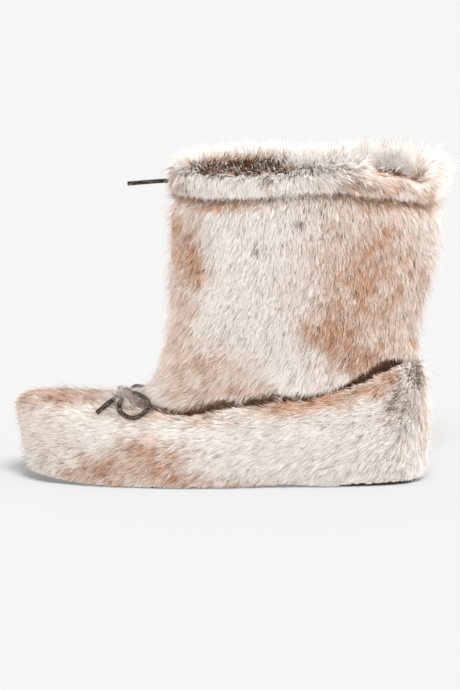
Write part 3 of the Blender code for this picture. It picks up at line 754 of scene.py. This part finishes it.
def fur_piece(name, pelt, coat, first, last, growth, finish):
    """One piece of fur: strands as tapered ribbons that lie along the nap and gather into locks.

    growth(points, share, upward, chance) says how the strands grow at points, from their share of the
    pelt's height, the way up it and a random generator.
    """
    chance = np.random.default_rng(coat.seed + first)
    column, row = pelt.spread(coat.strands, first, last, coat.seed + first)
    count = len(column)
    face = pelt.read(pelt.points, column, row)
    normal = unit(pelt.read(pelt.normals, column, row))
    share = row / (len(pelt.points) - 1)
    root = face - normal * coat.depth
    lock, lock_count = locks_of(face, pelt, coat, first, last, chance)

    grown = growth(face, share, pelt.read(pelt.upward, column, row), chance)
    swing = ripples(face, SWING_RIPPLES, coat.seed + 3) + (
        chance.normal(0, LOCK_SWING, lock_count)[lock]
        + chance.normal(0, 1, count) * (STRAND_SWING + grown.loose)
    )
    lump = ripples(face, LUMP_RIPPLES, coat.seed + 5)
    along = unit(grown.nap - normal * np.sum(grown.nap * normal, axis=1)[:, None])
    across = np.cross(normal, along)
    along = along * np.cos(swing)[:, None] + across * np.sin(swing)[:, None]

    size = chance.uniform(*LOCK_SIZE, lock_count)[lock] * chance.uniform(*STRAND_SIZE, count) * grown.long
    rise = chance.uniform(*LOCK_RISE, lock_count)[lock] * chance.uniform(*STRAND_RISE, count) * grown.tall
    size = size[:, None]
    rise = (rise * (1 + LUMP_HEIGHT * lump))[:, None]
    stray = chance.uniform(size=(count, 1)) < STRAY_SHARE
    rise = np.where(stray, rise * chance.uniform(*STRAY_RISE, (count, 1)), rise)
    size = np.where(stray, size * STRAY_SIZE, size)
    tip = root + along * coat.length * size + normal * coat.rise * rise
    bend = root + along * coat.length * BEND_PLACE * size + normal * coat.rise * BEND_RISE * rise

    tips = np.zeros((lock_count, 3))
    held = np.bincount(lock, minlength=lock_count)
    for axis in range(3):
        tips[:, axis] = np.bincount(lock, tip[:, axis], lock_count) / np.maximum(held, 1)
    gather = np.where(stray, LEAST_GATHER, chance.uniform(LEAST_GATHER, coat.gather, (count, 1)))
    tip += (tips[lock] - tip) * gather
    bared = HEEL_CLEAR * smooth_step((tip[:, 0] - HEEL_CLEAR_X) / HEEL_CLEAR_FADE)
    floor = HEM_CLEAR + SOLE_SHARE * underside(tip[:, 0])
    floor += bared * chance.uniform(*HEEL_RAGGED, lock_count)[lock]
    tip[:, 2] = np.maximum(tip[:, 2], floor + chance.uniform(0, HEM_RAGGED, count))
    tip = np.clip(tip, *STRAND_BOX)

    forward = unit(tip - root)
    upright = 1 - fade_in(normal[:, 2:], *LYING)
    aside = np.where(normal[:, 1:2] < EDGE_SPLIT, -1, 1) * upright * np.array([0, 1.0, 0])
    facing = unit(normal + grown.turn + EDGE_TURN * aside)
    side = unit(np.cross(forward, facing))
    roll = chance.normal(0, STRAND_ROLL, (count, 1))
    side = side * np.cos(roll) + np.cross(forward, side) * np.sin(roll)
    thick = coat.width * chance.uniform(*STRAND_WIDTH, (count, 1)) * np.where(stray, STRAY_WIDTH, 1.0)
    half = side * thick / 2

    bend[:, 2] = np.maximum(bend[:, 2], floor + BEND_CLEAR)
    bend = np.clip(bend, *STRAND_BOX)
    mesh = ribbon_mesh(name, root, bend, half, tip, facing)

    lock_tone = chance.normal(0, 1, lock_count)[lock]
    clumped = chance.uniform(size=count) < CLUMPED_SHARE
    pick = np.where(clumped, chance.uniform(size=lock_count)[lock], chance.uniform(size=count))
    # a random greyer tone, plus painted shade: the growth's grey and the hollows between lumps
    fade_and_shade = np.clip(chance.uniform(size=count) + grown.grey - LUMP_SHADE * lump, 0, MOST_FADE_AND_SHADE)
    tones = {"brown": grown.brown, "dark": grown.dark, "lock": lock_tone, "chance": pick, "fade_and_shade": fade_and_shade}
    float_attribute(mesh, "along", np.tile([0.0, 0.5, 0.5, 1.0], count))
    for key, values in tones.items():
        float_attribute(mesh, key, np.repeat(values, 4))

    tilt = chance.normal(0, LOCK_TILT, (lock_count, 3))[lock] + chance.normal(0, STRAND_TILT, (count, 3))
    shade = unit(normal + grown.turn + EDGE_GLOW * aside + FORWARD_TILT * forward + tilt)
    mesh.materials.append(finish)
    mesh.shade_smooth()
    mesh.normals_split_custom_set_from_vertices(np.repeat(shade, 4, axis=0))
    return placed(name, mesh)


class Nodes:
    """A shorthand for building a material's nodes."""

    def __init__(self, name):
        self.material = bpy.data.materials.new(name)
        self.material.use_nodes = True
        self.tree = self.material.node_tree
        self.shader = self.tree.nodes["Principled BSDF"]

    def put(self, socket, value):
        """Links a value that is a socket, and sets any other."""
        if isinstance(value, bpy.types.NodeSocket):
            self.tree.links.new(value, socket)
        elif isinstance(value, tuple) and len(value) == 3 and socket.type == "RGBA":
            socket.default_value = (*value, 1.0)
        else:
            socket.default_value = value

    def set(self, **values):
        """Values of the shader's own sockets, with _ for each space in a name."""
        for key, value in values.items():
            self.put(self.shader.inputs[key.replace("_", " ")], value)

    def make(self, kind, output, inputs, **settings):
        """One output of a new node with these inputs and settings."""
        node = self.tree.nodes.new(kind)
        for key, value in settings.items():
            setattr(node, key, value)
        for key, value in inputs.items():
            self.put(node.inputs[key], value)
        return node.outputs[output]

    def attribute(self, name):
        return self.make("ShaderNodeAttribute", "Fac", {}, attribute_name=name)

    def math(self, operation, a, b=0.0, clamp=False):
        return self.make("ShaderNodeMath", 0, {0: a, 1: b}, operation=operation, use_clamp=clamp)

    def mix(self, factor, a, b, blend="MIX"):
        return self.make("ShaderNodeMix", 2, {0: factor, 6: a, 7: b}, data_type="RGBA", blend_type=blend)

    def place(self):
        return self.make("ShaderNodeTexCoord", "Object", {})

    def noise(self, scale, detail=3.0, roughness=0.55):
        inputs = {"Vector": self.place(), "Scale": scale, "Detail": detail, "Roughness": roughness}
        return self.make("ShaderNodeTexNoise", "Fac", inputs)

    def ramp(self, factor, low, high):
        return self.make("ShaderNodeMapRange", 0, {0: factor, 1: low, 2: high}, clamp=True)

    def bump(self, height, strength, distance):
        inputs = {"Strength": strength, "Distance": distance, "Height": height}
        return self.make("ShaderNodeBump", "Normal", inputs)


def fur_material(name):
    """Strands: cream tips, brown in the patches, darker towards the roots (brown roots in the patches,
    painted shade of the pile in the cream), with a few sooty hairs.
    """
    n = Nodes(name)
    along = n.attribute("along")
    brown = n.attribute("brown")
    dark = n.attribute("dark")
    lock = n.attribute("lock")
    chance = n.attribute("chance")
    stray_tone = n.math("MULTIPLY", n.math("SUBTRACT", chance, 0.5), 0.6)
    speckle = n.math("ADD", n.math("MULTIPLY", lock, 0.3), stray_tone)
    patch = n.math("MULTIPLY", n.math("ADD", brown, 0.03), n.math("ADD", speckle, 1.0), clamp=True)
    tint = n.mix(patch, CREAM, LIGHT_BROWN)
    other_chance = n.math("FRACT", n.math("MULTIPLY", chance, 7.0))
    rich = n.math("LESS_THAN", other_chance, n.math("MULTIPLY", patch, 0.4))
    tint = n.mix(n.math("MULTIPLY", rich, 0.6), tint, ROOT_BROWN)
    tint = n.mix(n.math("MULTIPLY", n.ramp(along, 0.6, 1.0), 0.25), tint, CREAM)
    # darker roots: brown in the patches, and painted shade of the pile in the cream
    root_tone_and_shade = n.mix(patch, CREAM_ROOT_SHADE, ROOT_BROWN)
    root = n.math("SUBTRACT", 1.0, n.ramp(along, 0.15, 0.7))
    tint = n.mix(n.math("MULTIPLY", root, 0.7), tint, root_tone_and_shade)
    # the greyer tone: random, and painted shade from the growth and the lumps
    fade_and_shade = n.math("MULTIPLY", n.math("POWER", n.attribute("fade_and_shade"), 3.0), 0.55)
    tint = n.mix(fade_and_shade, tint, n.mix(1.0, tint, FADED_AND_SHADED, "MULTIPLY"))
    # dark brown and sooty hairs where the pile is dark: real dark patches, and painted shade in the slit,
    # the seam and the cuff's parting
    tint = n.mix(n.math("MULTIPLY", n.ramp(dark, 0.45, 0.8), 0.9), tint, DEEP_BROWN)
    sooty = n.math("LESS_THAN", chance, n.math("ADD", n.math("MULTIPLY", dark, 0.8), 0.008))
    tint = n.mix(n.math("MULTIPLY", sooty, 0.85), tint, SOOT)
    n.set(Base_Color=tint, Roughness=0.62, Specular_IOR_Level=0.08)
    return n.material


def skin_material(name):
    """The cloth that the pile grows from, seen only where the pile parts."""
    n = Nodes(name)
    mottle = n.ramp(n.noise(90.0), 0.3, 0.7)
    tint = n.mix(mottle, SKIN, SKIN_PALE)
    n.set(Base_Color=tint, Roughness=0.95, Normal=n.bump(n.noise(900.0), 0.5, 0.0006))
    return n.material


def lining_material(name):
    """Dark brown fleece in small curls."""
    n = Nodes(name)
    curl = n.noise(420.0, 4.0, 0.65)
    tint = n.mix(n.ramp(curl, 0.35, 0.65), LINING, LINING_PALE)
    n.set(Base_Color=tint, Roughness=0.95, Normal=n.bump(curl, 0.9, 0.0015))
    n.set(Sheen_Weight=0.1, Sheen_Roughness=0.6)
    return n.material


def leather_material(name):
    """Smooth dark round leather with fine grain and paler flecks and streaks: partly wear, partly painted
    highlight.
    """
    n = Nodes(name)
    # paler flecks and streaks: partly wear, partly painted highlight
    worn_and_glint = n.ramp(n.noise(1100.0, 2.0), 0.53, 0.63)
    tint = n.mix(n.math("MULTIPLY", worn_and_glint, 0.85), LEATHER, LEATHER_WORN_AND_GLINT)
    rough = n.math("ADD", n.math("MULTIPLY", n.noise(800.0), 0.25), 0.30)
    n.set(Base_Color=tint, Roughness=rough, Normal=n.bump(n.noise(1500.0), 0.35, 0.0003))
    n.set(Specular_IOR_Level=0.07)
    return n.material


def core_material(name):
    """The cut end of a leather cord."""
    n = Nodes(name)
    tint = n.mix(n.noise(1800.0), LEATHER_CORE, LEATHER_CORE_DARK)
    n.set(Base_Color=tint, Roughness=0.9)
    return n.material


def rubber_material(name):
    """Black rubber with a fine ribbed tread and grey scuffs."""
    n = Nodes(name)
    inputs = {"Vector": n.place(), "Scale": 62.0, "Distortion": 3.0, "Detail": 0.0, "Detail Scale": 2.0}
    bands = {"wave_type": "BANDS", "bands_direction": "X", "wave_profile": "SIN"}
    rib = n.make("ShaderNodeTexWave", "Fac", inputs, **bands)
    scuff = n.ramp(n.noise(70.0, 5.0), 0.5, 0.8)
    tint = n.mix(scuff, RUBBER, RUBBER_SCUFF)
    n.set(Base_Color=tint, Roughness=0.7, Normal=n.bump(rib, 0.8, 0.001))
    return n.material


def thread_material(name):
    """Grey stitches round the eyelet."""
    n = Nodes(name)
    strand = n.noise(1400.0, 2.0, 0.5)
    tint = n.mix(strand, THREAD, THREAD_PALE)
    n.set(Base_Color=tint, Roughness=0.8, Normal=n.bump(strand, 0.8, 0.0006))
    return n.material


def bands(pairs, count):
    """Four-sided faces between pairs of rings of count points each."""
    return [
        (low * count + i, low * count + (i + 1) % count, high * count + (i + 1) % count, high * count + i)
        for low, high in pairs
        for i in range(count)
    ]


def wall_piece(name, rings, outer_rows, skin, lining):
    """A hollow wall of rings, joined all round and closed; its outer rows are skin and the rest lining."""
    rings = [points[::SKIN_STEP] for points in rings]
    count = len(rings[0])
    faces = bands([(row, (row + 1) % len(rings)) for row in range(len(rings))], count)
    obj = mesh_piece(name, np.concatenate(rings), faces, [skin, lining])
    slots = np.repeat((np.arange(len(rings)) >= outer_rows - 1).astype(np.int32), count)
    obj.data.polygons.foreach_set("material_index", slots)
    return obj


def upper_wall(pelt, skin, lining):
    outer = [pelt.sunk(i, UPPER_COAT.depth) for i in range(2, UPPER_ROWS, 2)]
    lip = pelt.sunk(-1, LIP_DEPTH) + np.array([0, 0, LIP_LIFT])
    inner = [pelt.sunk(i, UPPER_WALL) for i in UPPER_LINING_ROWS]
    x = SOLE_PLAN[:, 0]
    seat_z = sole_top(x) + GAP
    skirt = SOLE_PLAN + SOLE_OUT * GAP
    seat = [
        ring(SOLE_PLAN - SOLE_OUT * SEAT_INSET, seat_z),
        ring(skirt, seat_z),
        ring(skirt, underside(x) + HEM_LIFT),
    ]
    hem = ring(SOLE_PLAN + SOLE_OUT * HEM_OUT, underside(x) + HEM_LIFT)
    return wall_piece("upper_pelt", [hem, *outer, lip, *inner, *seat], len(outer) + 1, skin, lining)


def sock_inset(upper):
    """How far in from the topline the shaft's tucked stretch lies, clear of the upper's lining."""
    linings = [upper.sunk(i, UPPER_WALL) for i in UPPER_LINING_ROWS[::2]]
    insets = [np.sum((TOP_PLAN - wall[:, :2]) * TOP_OUT, axis=1) for wall in linings]
    return np.max([np.zeros(COLUMNS), *insets], axis=0) + 2 * GAP


def shaft_wall(pelt, upper, skin, lining):
    outer = [pelt.sunk(i, SHAFT_COAT.depth) for i in range(0, SHAFT_ROWS, 2)]
    sock_in = sock_inset(upper)
    sock_plan = TOP_PLAN - TOP_OUT * sock_in[:, None]
    sock_inner = TOP_PLAN - TOP_OUT * (sock_in + SOCK_WALL)[:, None]
    start = pelt.points[0][:, 2]
    low = FOOT["top_z"] - SOCK_DEPTH
    inner = [ring(leg_plan(-SHAFT_WALL), SEAM_Z + SEAM_LIFT)]
    for i in SHAFT_LINING_ROWS:
        share = smooth_step(i / SHAFT_FULL_ROW)
        depth = sock_in + SOCK_WALL + (SHAFT_WALL - sock_in - SOCK_WALL) * share
        inner.append(pelt.sunk(i, depth[:, None]))
    sock = [ring(sock_inner, start), ring(sock_inner, low), ring(sock_plan, low)]
    rings = [ring(sock_plan, start - SOCK_DROP), *outer, *inner, *sock]
    return wall_piece("shaft_pelt", rings, len(outer) + 1, skin, lining)


def cuff_wall(pelt, skin, lining):
    rows = len(pelt.points)
    depth = CUFF_COAT.depth * np.sin(math.pi * np.linspace(0.08, 0.92, rows)) ** 0.6
    rings = [pelt.sunk(i, depth[i]) for i in range(0, rows, 2)]
    return wall_piece("cuff_pelt", rings, round(CUFF_SKIN_SHARE * len(rings)), skin, lining)


def seam_shade_strength(x):
    """How strong the painted shade of the seam's groove is along the seam under the cuff, from 0 to 1: most
    at the front and at the back.
    """
    return 0.30 + 0.70 * np.maximum(hump(x, -113, 30), hump(x, 4, 38))


def upper_growth(face, share, upward, chance):
    """The upper's strands: shorter along the topline and under the hem, with a tuft over the bow."""
    x, y, z = face.T
    brown, dark = patches_at(face)
    low = fade_in(z, 0, 14)
    edge = fade_in(share, 1, 0.88)
    near = fade_in(y, -14, -28)
    back = fade_in(x, 20, 30) * (1 - fade_in(z, 0, 34))
    tuft = bump_at(face, BOW_TUFT)
    flat = bump_at(face, TOE_FLAT)
    heel = bump_at(face, HEEL_TUFT)
    toe = bump_at(face, TOE_TUFT)
    long = (0.45 + 0.55 * edge) * (0.6 + 0.4 * low) + 0.6 * tuft
    tall = (edge + (0.6 - 0.2 * near) * (1 - edge)) * (0.7 + 0.3 * low)
    tall += 1.0 * tuft + 0.4 * heel + 0.5 * toe - 0.4 * flat - 0.3 * back
    loose = 0.2 * tuft + 0.2 * heel + 0.15 * flat + 0.2 * toe
    brown = np.maximum(brown * (1 - tuft), 0.3 * tuft)
    # a little greyer tone over the foot, lighter toward the heel's back: painted light against its shade
    grey = 0.12 - 0.1 * fade_in(x, 5, 20)
    return Growth(nap_at(face, UPPER_NAP), long, tall, loose, brown, dark, grey, NO_TURN)


def shaft_growth(face, share, upward, chance):
    """The shaft's strands: shorter along the slit, most of all where it gapes, and stitched down at the
    seam; painted dark brown as shade along the gaping slit and the seam's groove.
    """
    x, y, z = face.T
    brown, dark = patches_at(face)
    near = fade_in(y, -14, -28)
    bare = near * np.maximum(hump(x, -107, 10), hump(x, -72, 17))
    gape = (0.5 + 0.5 * fade_in(x, -40, 0)) * (1 - fade_in(x, 4, 26)) * near
    gape = np.maximum(gape, bare)
    edge = fade_in(share, 0, 0.06 + 0.04 * gape)
    # painted shade: dark brown hair along the slit where it gapes
    slit = (1 - fade_in(share, 0, 0.035)) * gape
    tuft = bump_at(face, BOW_TUFT)
    throat = bump_at(face, THROAT)
    ends = fade_in(x, -120, -135) * fade_in(z, 110, 140) + fade_in(x, 22, 34)
    seam = fade_in(share, 0.984, 0.992)
    # painted shade of the seam's groove, and a wider, softer band of it below
    seam_shade = seam * seam_shade_strength(x)
    seam_shade_wide = fade_in(share, 0.96, 0.98) * seam_shade_strength(x)
    foot = 0.4 * fade_in(z, 115, 75)

    ragged = chance.uniform(0.7, 1.6, len(face))
    long = (0.85 - 0.60 * gape) * (1 - edge) * ragged + edge * (1 + foot) + 0.6 * tuft
    long *= 1 - 0.7 * seam
    drawn_back = np.clip((share * SHAFT_PROFILE - 3.5) / SHAFT_COAT.length * ragged, 0.2, None)
    long = long * (1 - bare) + np.minimum(long, drawn_back) * bare
    tall = (0.90 - 0.50 * gape) * (1 - edge) + edge + 1.0 * tuft - 0.4 * throat
    tall *= 1 + 0.2 * seam + 0.2 * ends
    loose = 0.2 * tuft + 0.1 * ends
    brown = np.max([brown * (1 - tuft), 0.3 * tuft, 1.2 * seam_shade, 0.6 * seam_shade_wide, 0.9 * slit], axis=0)
    dark = np.max([dark, 0.5 * seam_shade, 0.8 * slit], axis=0)
    grey = 0.22 * bump_at(face, LOW_FRONT)
    return Growth(nap_at(face, SHAFT_NAP), long, tall, loose, brown, dark, grey, NO_TURN)


def slit_growth(face, share, upward, chance):
    """Short hair inside the slit, painted dark for its shade and darker further down, paler towards the
    heel.
    """
    full = np.ones(len(face))
    dark = (1.0 - 0.35 * share) * (1 - fade_in(face[:, 0], 12, 24))
    return Growth(
        nap=full[:, None] * SLIT_NAP, long=full, tall=full, loose=0.3 * full,
        brown=full, dark=dark, grey=0 * full, turn=NO_TURN,
    )


def cuff_growth(face, share, upward, chance):
    """The cuff's strands come up from inside, flow over the rim and hang outside, about as far as the seam.

    Short hair painted dark for shade shows where the near rim parts, at the front, along its fold at the
    back and down the wall inside; the far rim's fringe is painted greyer, and the seam's groove darker, both
    as shade.
    """
    x, y, _ = face.T
    brown, dark = patches_at(face)
    side = nap_at(face, CUFF_NAP)[:, :1]
    outside = 1 - fade_in(share, 0.45, 0.60)[:, None]
    nap = -upward * np.sqrt(1 - (side * outside) ** 2) + np.array([1.0, 0, 0]) * side * outside

    # Where the strands lie, by the side of the boot and by their share of the way from the seam
    near = fade_in(y, 0, -20)
    far = fade_in(y, 0, 25)
    rim = near * fade_in(share, 0.47, 0.53)
    crease = near * fade_in(share, 0.43, 0.48)
    wall = fade_in(share, 0.735, 0.765)
    core = np.maximum(rim, fade_in(share, 0.75, 0.78))
    inside = fade_in(share, 0.50, 0.60)
    # the far rim's top fringe, painted greyer as shade where the lamps light it most
    fringe = far * fade_in(share, 0.30, 0.38) * (1 - fade_in(share, 0.64, 0.72))
    # painted shade of the seam's groove, and a wider, softer band of it above
    seam_shade = (1 - fade_in(share, 0.03, 0.065)) * seam_shade_strength(x)
    seam_shade_wide = (1 - fade_in(share, 0, 0.18)) * seam_shade_strength(x)

    # Painted shade: the dark parting, with a frayed end on the wall inside, and the fold
    parted = fade_in(x, -132, -124) * (1 - fade_in(x, -68, -56))
    frayed = x + 9 * ripple(face, 7, 51)
    torn_share = fade_in(x, -136, -120) * (1 - fade_in(frayed, -70, -52))
    torn = torn_share > chance.uniform(size=len(face))
    folded = 0.95 * fade_in(x, -14, -4) * (1 - fade_in(x, 24, 32))
    pale = chance.uniform(size=len(face)) < PALE_SHARE
    gap = np.where(pale, 0, np.max([rim * parted, crease * folded, wall * torn], axis=0))

    ragged = chance.uniform(0.7, 1.3, len(face))
    hang = 2.2 + 0.8 * fade_in(x, -75, -100) * near
    long = np.clip((share * CUFF_PROFILE - hang) / CUFF_COAT.length * ragged, 0.12, 1) * (1 - 0.6 * gap)
    far_front = fade_in(y, 10, 35) * fade_in(x, -50, -90)
    fluff = 0.3 * far_front + 0.8 * fade_in(x, 22, 36) + 1.2 * near * hump(x, -34, 26)
    fluff *= fade_in(share, 0.30, 0.45)
    fluff += 0.6 * far * inside * (fade_in(x, -40, -10) + fade_in(x, -15, 0))
    tall = (0.8 + 0.2 * fade_in(share, 0, 0.1)) * (1 - 0.25 * gap) + fluff * (1 - 0.8 * gap)
    tall *= 1 - 0.3 * fringe
    loose = 0.08 + 0.5 * np.maximum(parted, folded) * np.maximum(rim, wall)

    # Painted shade: the gap's hair is dark brown, darkest furthest inside, and so is the seam's groove
    brown = np.max([brown * (1 - inside), 0.05 * inside, 1.2 * gap, 1.2 * seam_shade, seam_shade_wide], axis=0)
    dark = np.max([dark * (1 - inside) + 0.01, gap * (0.35 + 0.5 * core), 0.55 * seam_shade], axis=0)
    # painted shade on the far rim's fringe
    grey = fringe * (1 - gap) * (1 - pale)

    top = fade_in(share, 0.42, 0.50) * (1 - fade_in(share, 0.58, 0.66) * far)
    ends = np.maximum(fade_in(x, 16, 28), fade_in(x, -122, -132)) * fade_in(share, 0.38, 0.46)
    stretch = (LEG_BACK_X - LEG_FRONT_X) / (2 * LEG_HALF_WIDTH)
    middle = np.array([(LEG_FRONT_X + LEG_BACK_X) / 2, 0, 0])
    out = unit((face - middle) * np.array([1, stretch**2, 0]))
    turn = RIM_TURN * top[:, None] * out - END_TURN * ends[:, None] * np.array([0, 1.0, 0])
    return Growth(nap, long, tall, loose, brown, dark, grey, turn)


def through(route, step):
    """Points along a smooth curve through a route, about step apart."""
    route = np.array(route, float)
    ends = [2 * route[0] - route[1], *route, 2 * route[-1] - route[-2]]
    made = [route[0]]
    for before, start, end, after in zip(ends, ends[1:], ends[2:], ends[3:]):
        count = max(1, round(np.linalg.norm(end - start) / step))
        made += [between(before, start, end, after, t) for t in np.arange(1, count + 1) / count]
    return np.array(made)


def tube(name, middle, radius, finish, sides=16):
    """A round cord along middle; its cut ends take the second finish."""
    along = unit(np.gradient(middle, axis=0))
    turn = np.linspace(0, 2 * math.pi, sides, endpoint=False)
    side = np.cross(along[0], (0.3, 0.5, 0.8))
    points = []
    for point, forward in zip(middle, along):
        side = side - forward * (side @ forward)
        side /= np.linalg.norm(side)
        up = np.cross(forward, side)
        points += [point + radius * (math.cos(a) * side + math.sin(a) * up) for a in turn]
    faces = bands([(k, k + 1) for k in range(len(middle) - 1)], sides)
    faces.append(tuple(range(sides - 1, -1, -1)))
    faces.append(tuple(range((len(middle) - 1) * sides, len(middle) * sides)))
    obj = mesh_piece(name, points, faces, finish)
    obj.data.polygons[len(faces) - 2].material_index = 1
    obj.data.polygons[len(faces) - 1].material_index = 1
    return obj


def make_cords():
    leather = leather_material("cord leather")
    core = core_material("cut leather")
    ends = {"collar_cord": "bare", "instep_loop": "knot", "instep_end": "bare", "instep_far_loop": "knot"}
    for name, far_end in ends.items():
        radius = COLLAR_CORD_RADIUS if name == "collar_cord" else INSTEP_CORD_RADIUS
        middle = through(ROUTES[name], ROUTE_STEP)
        obj = tube(name + "_leather", middle, radius, [leather, core])
        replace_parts(obj, name)
    turn = np.linspace(0, 2 * math.pi * KNOT_TURNS, KNOT_POINTS)
    across = np.linspace(-KNOT_HALF, KNOT_HALF, KNOT_POINTS)
    wraps = np.column_stack([KNOT_RADIUS * np.cos(turn), across, KNOT_RADIUS * np.sin(turn)])
    knot = tube("instep_knot_leather", wraps + np.array(KNOT_MIDDLE), KNOT_CORD_RADIUS, [leather, core])
    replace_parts(knot, "instep_knot")


def add_sun(sun):
    light = bpy.data.lights.new(sun.name, "SUN")
    light.energy = sun.energy
    light.angle = math.radians(sun.spread)
    lamp = bpy.data.objects.new(sun.name, light)
    lamp.rotation_euler = Vector(sun.way).to_track_quat("-Z", "Y").to_euler()
    bpy.context.scene.collection.objects.link(lamp)
    return lamp


def make_studio():
    """A pale floor, an even white surround, soft lights, one of them on the floor alone, and the camera."""
    scene = bpy.context.scene
    scene.view_settings.view_transform = "Standard"
    world = bpy.data.worlds.new("studio")
    world.use_nodes = True
    surround = world.node_tree.nodes["Background"]
    surround.inputs["Color"].default_value = (*WHITE, 1)
    surround.inputs["Strength"].default_value = SURROUND
    scene.world = world

    n = Nodes("studio floor")
    n.set(Base_Color=FLOOR_GREY, Roughness=0.9, Specular_IOR_Level=0.0)
    n.set(Emission_Color=WHITE, Emission_Strength=FLOOR_GLOW)
    corners = [(x * FLOOR_HALF, y * FLOOR_HALF, 0) for x, y in ((-1, -1), (1, -1), (1, 1), (-1, 1))]
    mesh = bpy.data.meshes.new("floor")
    mesh.from_pydata(corners, [], [(0, 1, 2, 3)])
    mesh.materials.append(n.material)
    floor = bpy.data.objects.new("floor", mesh)
    scene.collection.objects.link(floor)

    for sun in BOOT_SUNS:
        add_sun(sun)
    lit = bpy.data.collections.new("lit by the floor light")
    lit.objects.link(floor)
    add_sun(FLOOR_SUN).light_linking.receiver_collection = lit

    camera = bpy.data.cameras.new("camera")
    camera.sensor_fit = "HORIZONTAL"
    camera.sensor_width = SENSOR_MM
    camera.lens = SENSOR_MM * CAMERA_FAR / PICTURE_WIDTH
    camera.clip_end = CAMERA_CLIP
    eye = bpy.data.objects.new("camera", camera)
    target = Vector(CAMERA_TARGET)
    back = Vector((0, -math.cos(CAMERA_ELEVATION), math.sin(CAMERA_ELEVATION)))
    eye.location = target + CAMERA_FAR * back
    eye.rotation_euler = (target - eye.location).to_track_quat("-Z", "Y").to_euler()
    scene.collection.objects.link(eye)
    scene.camera = eye


def main():
    make_studio()
    make_cords()
    fur = fur_material("fur")
    skin = skin_material("fur cloth")
    lining = lining_material("fleece lining")

    upper = Pelt(upper_face, UPPER_ROWS)
    shaft = Pelt(shaft_face, SHAFT_ROWS)
    cuff = Pelt(cuff_face, CUFF_ROWS)
    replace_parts(upper_wall(upper, skin, lining), "upper")
    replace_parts(shaft_wall(shaft, upper, skin, lining), "shaft")
    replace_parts(cuff_wall(cuff, skin, lining), "cuff")

    for pelt in (upper, shaft):
        tuft = bump_at(pelt.points.reshape(-1, 3), BOW_TUFT)
        pelt.area *= 1 + BOW_TUFT_DENSITY * tuft.reshape(pelt.area.shape)
    half = COLUMNS // 2
    sock_plan = TOP_PLAN - TOP_OUT * sock_inset(upper)[:, None]
    slit_z = shaft.points[0][:, 2] + SLIT_OVERLAP
    slit = Pelt(lambda v: ring(sock_plan, slit_z - SLIT_DEPTH * (1 - v)), SLIT_ROWS)
    sides = (("outer", 0, half, 1.0), ("inner", half, COLUMNS, INNER_SHARE))
    coats = (("upper", upper, UPPER_COAT, upper_growth), ("shaft", shaft, SHAFT_COAT, shaft_growth))
    for side, first, last, density in sides:
        for piece, pelt, coat, growth in coats:
            coat = coat._replace(strands=round(coat.strands * density))
            made = fur_piece(f"{piece}_fur_{side}", pelt, coat, first, last, growth, fur)
    made = fur_piece("slit_fur", slit, SLIT_COAT, 0, half, slit_growth, fur)
    made = fur_piece("cuff_fur_all", cuff, CUFF_COAT, 0, COLUMNS, cuff_growth, fur)

    for name, finish in (
        ("outsole", rubber_material("ribbed rubber")),
        ("insole", lining_material("insole fleece")),
        ("cord_eyelet", thread_material("eyelet thread")),
    ):
        nodes[name].data.materials.clear()
        nodes[name].data.materials.append(finish)


main()
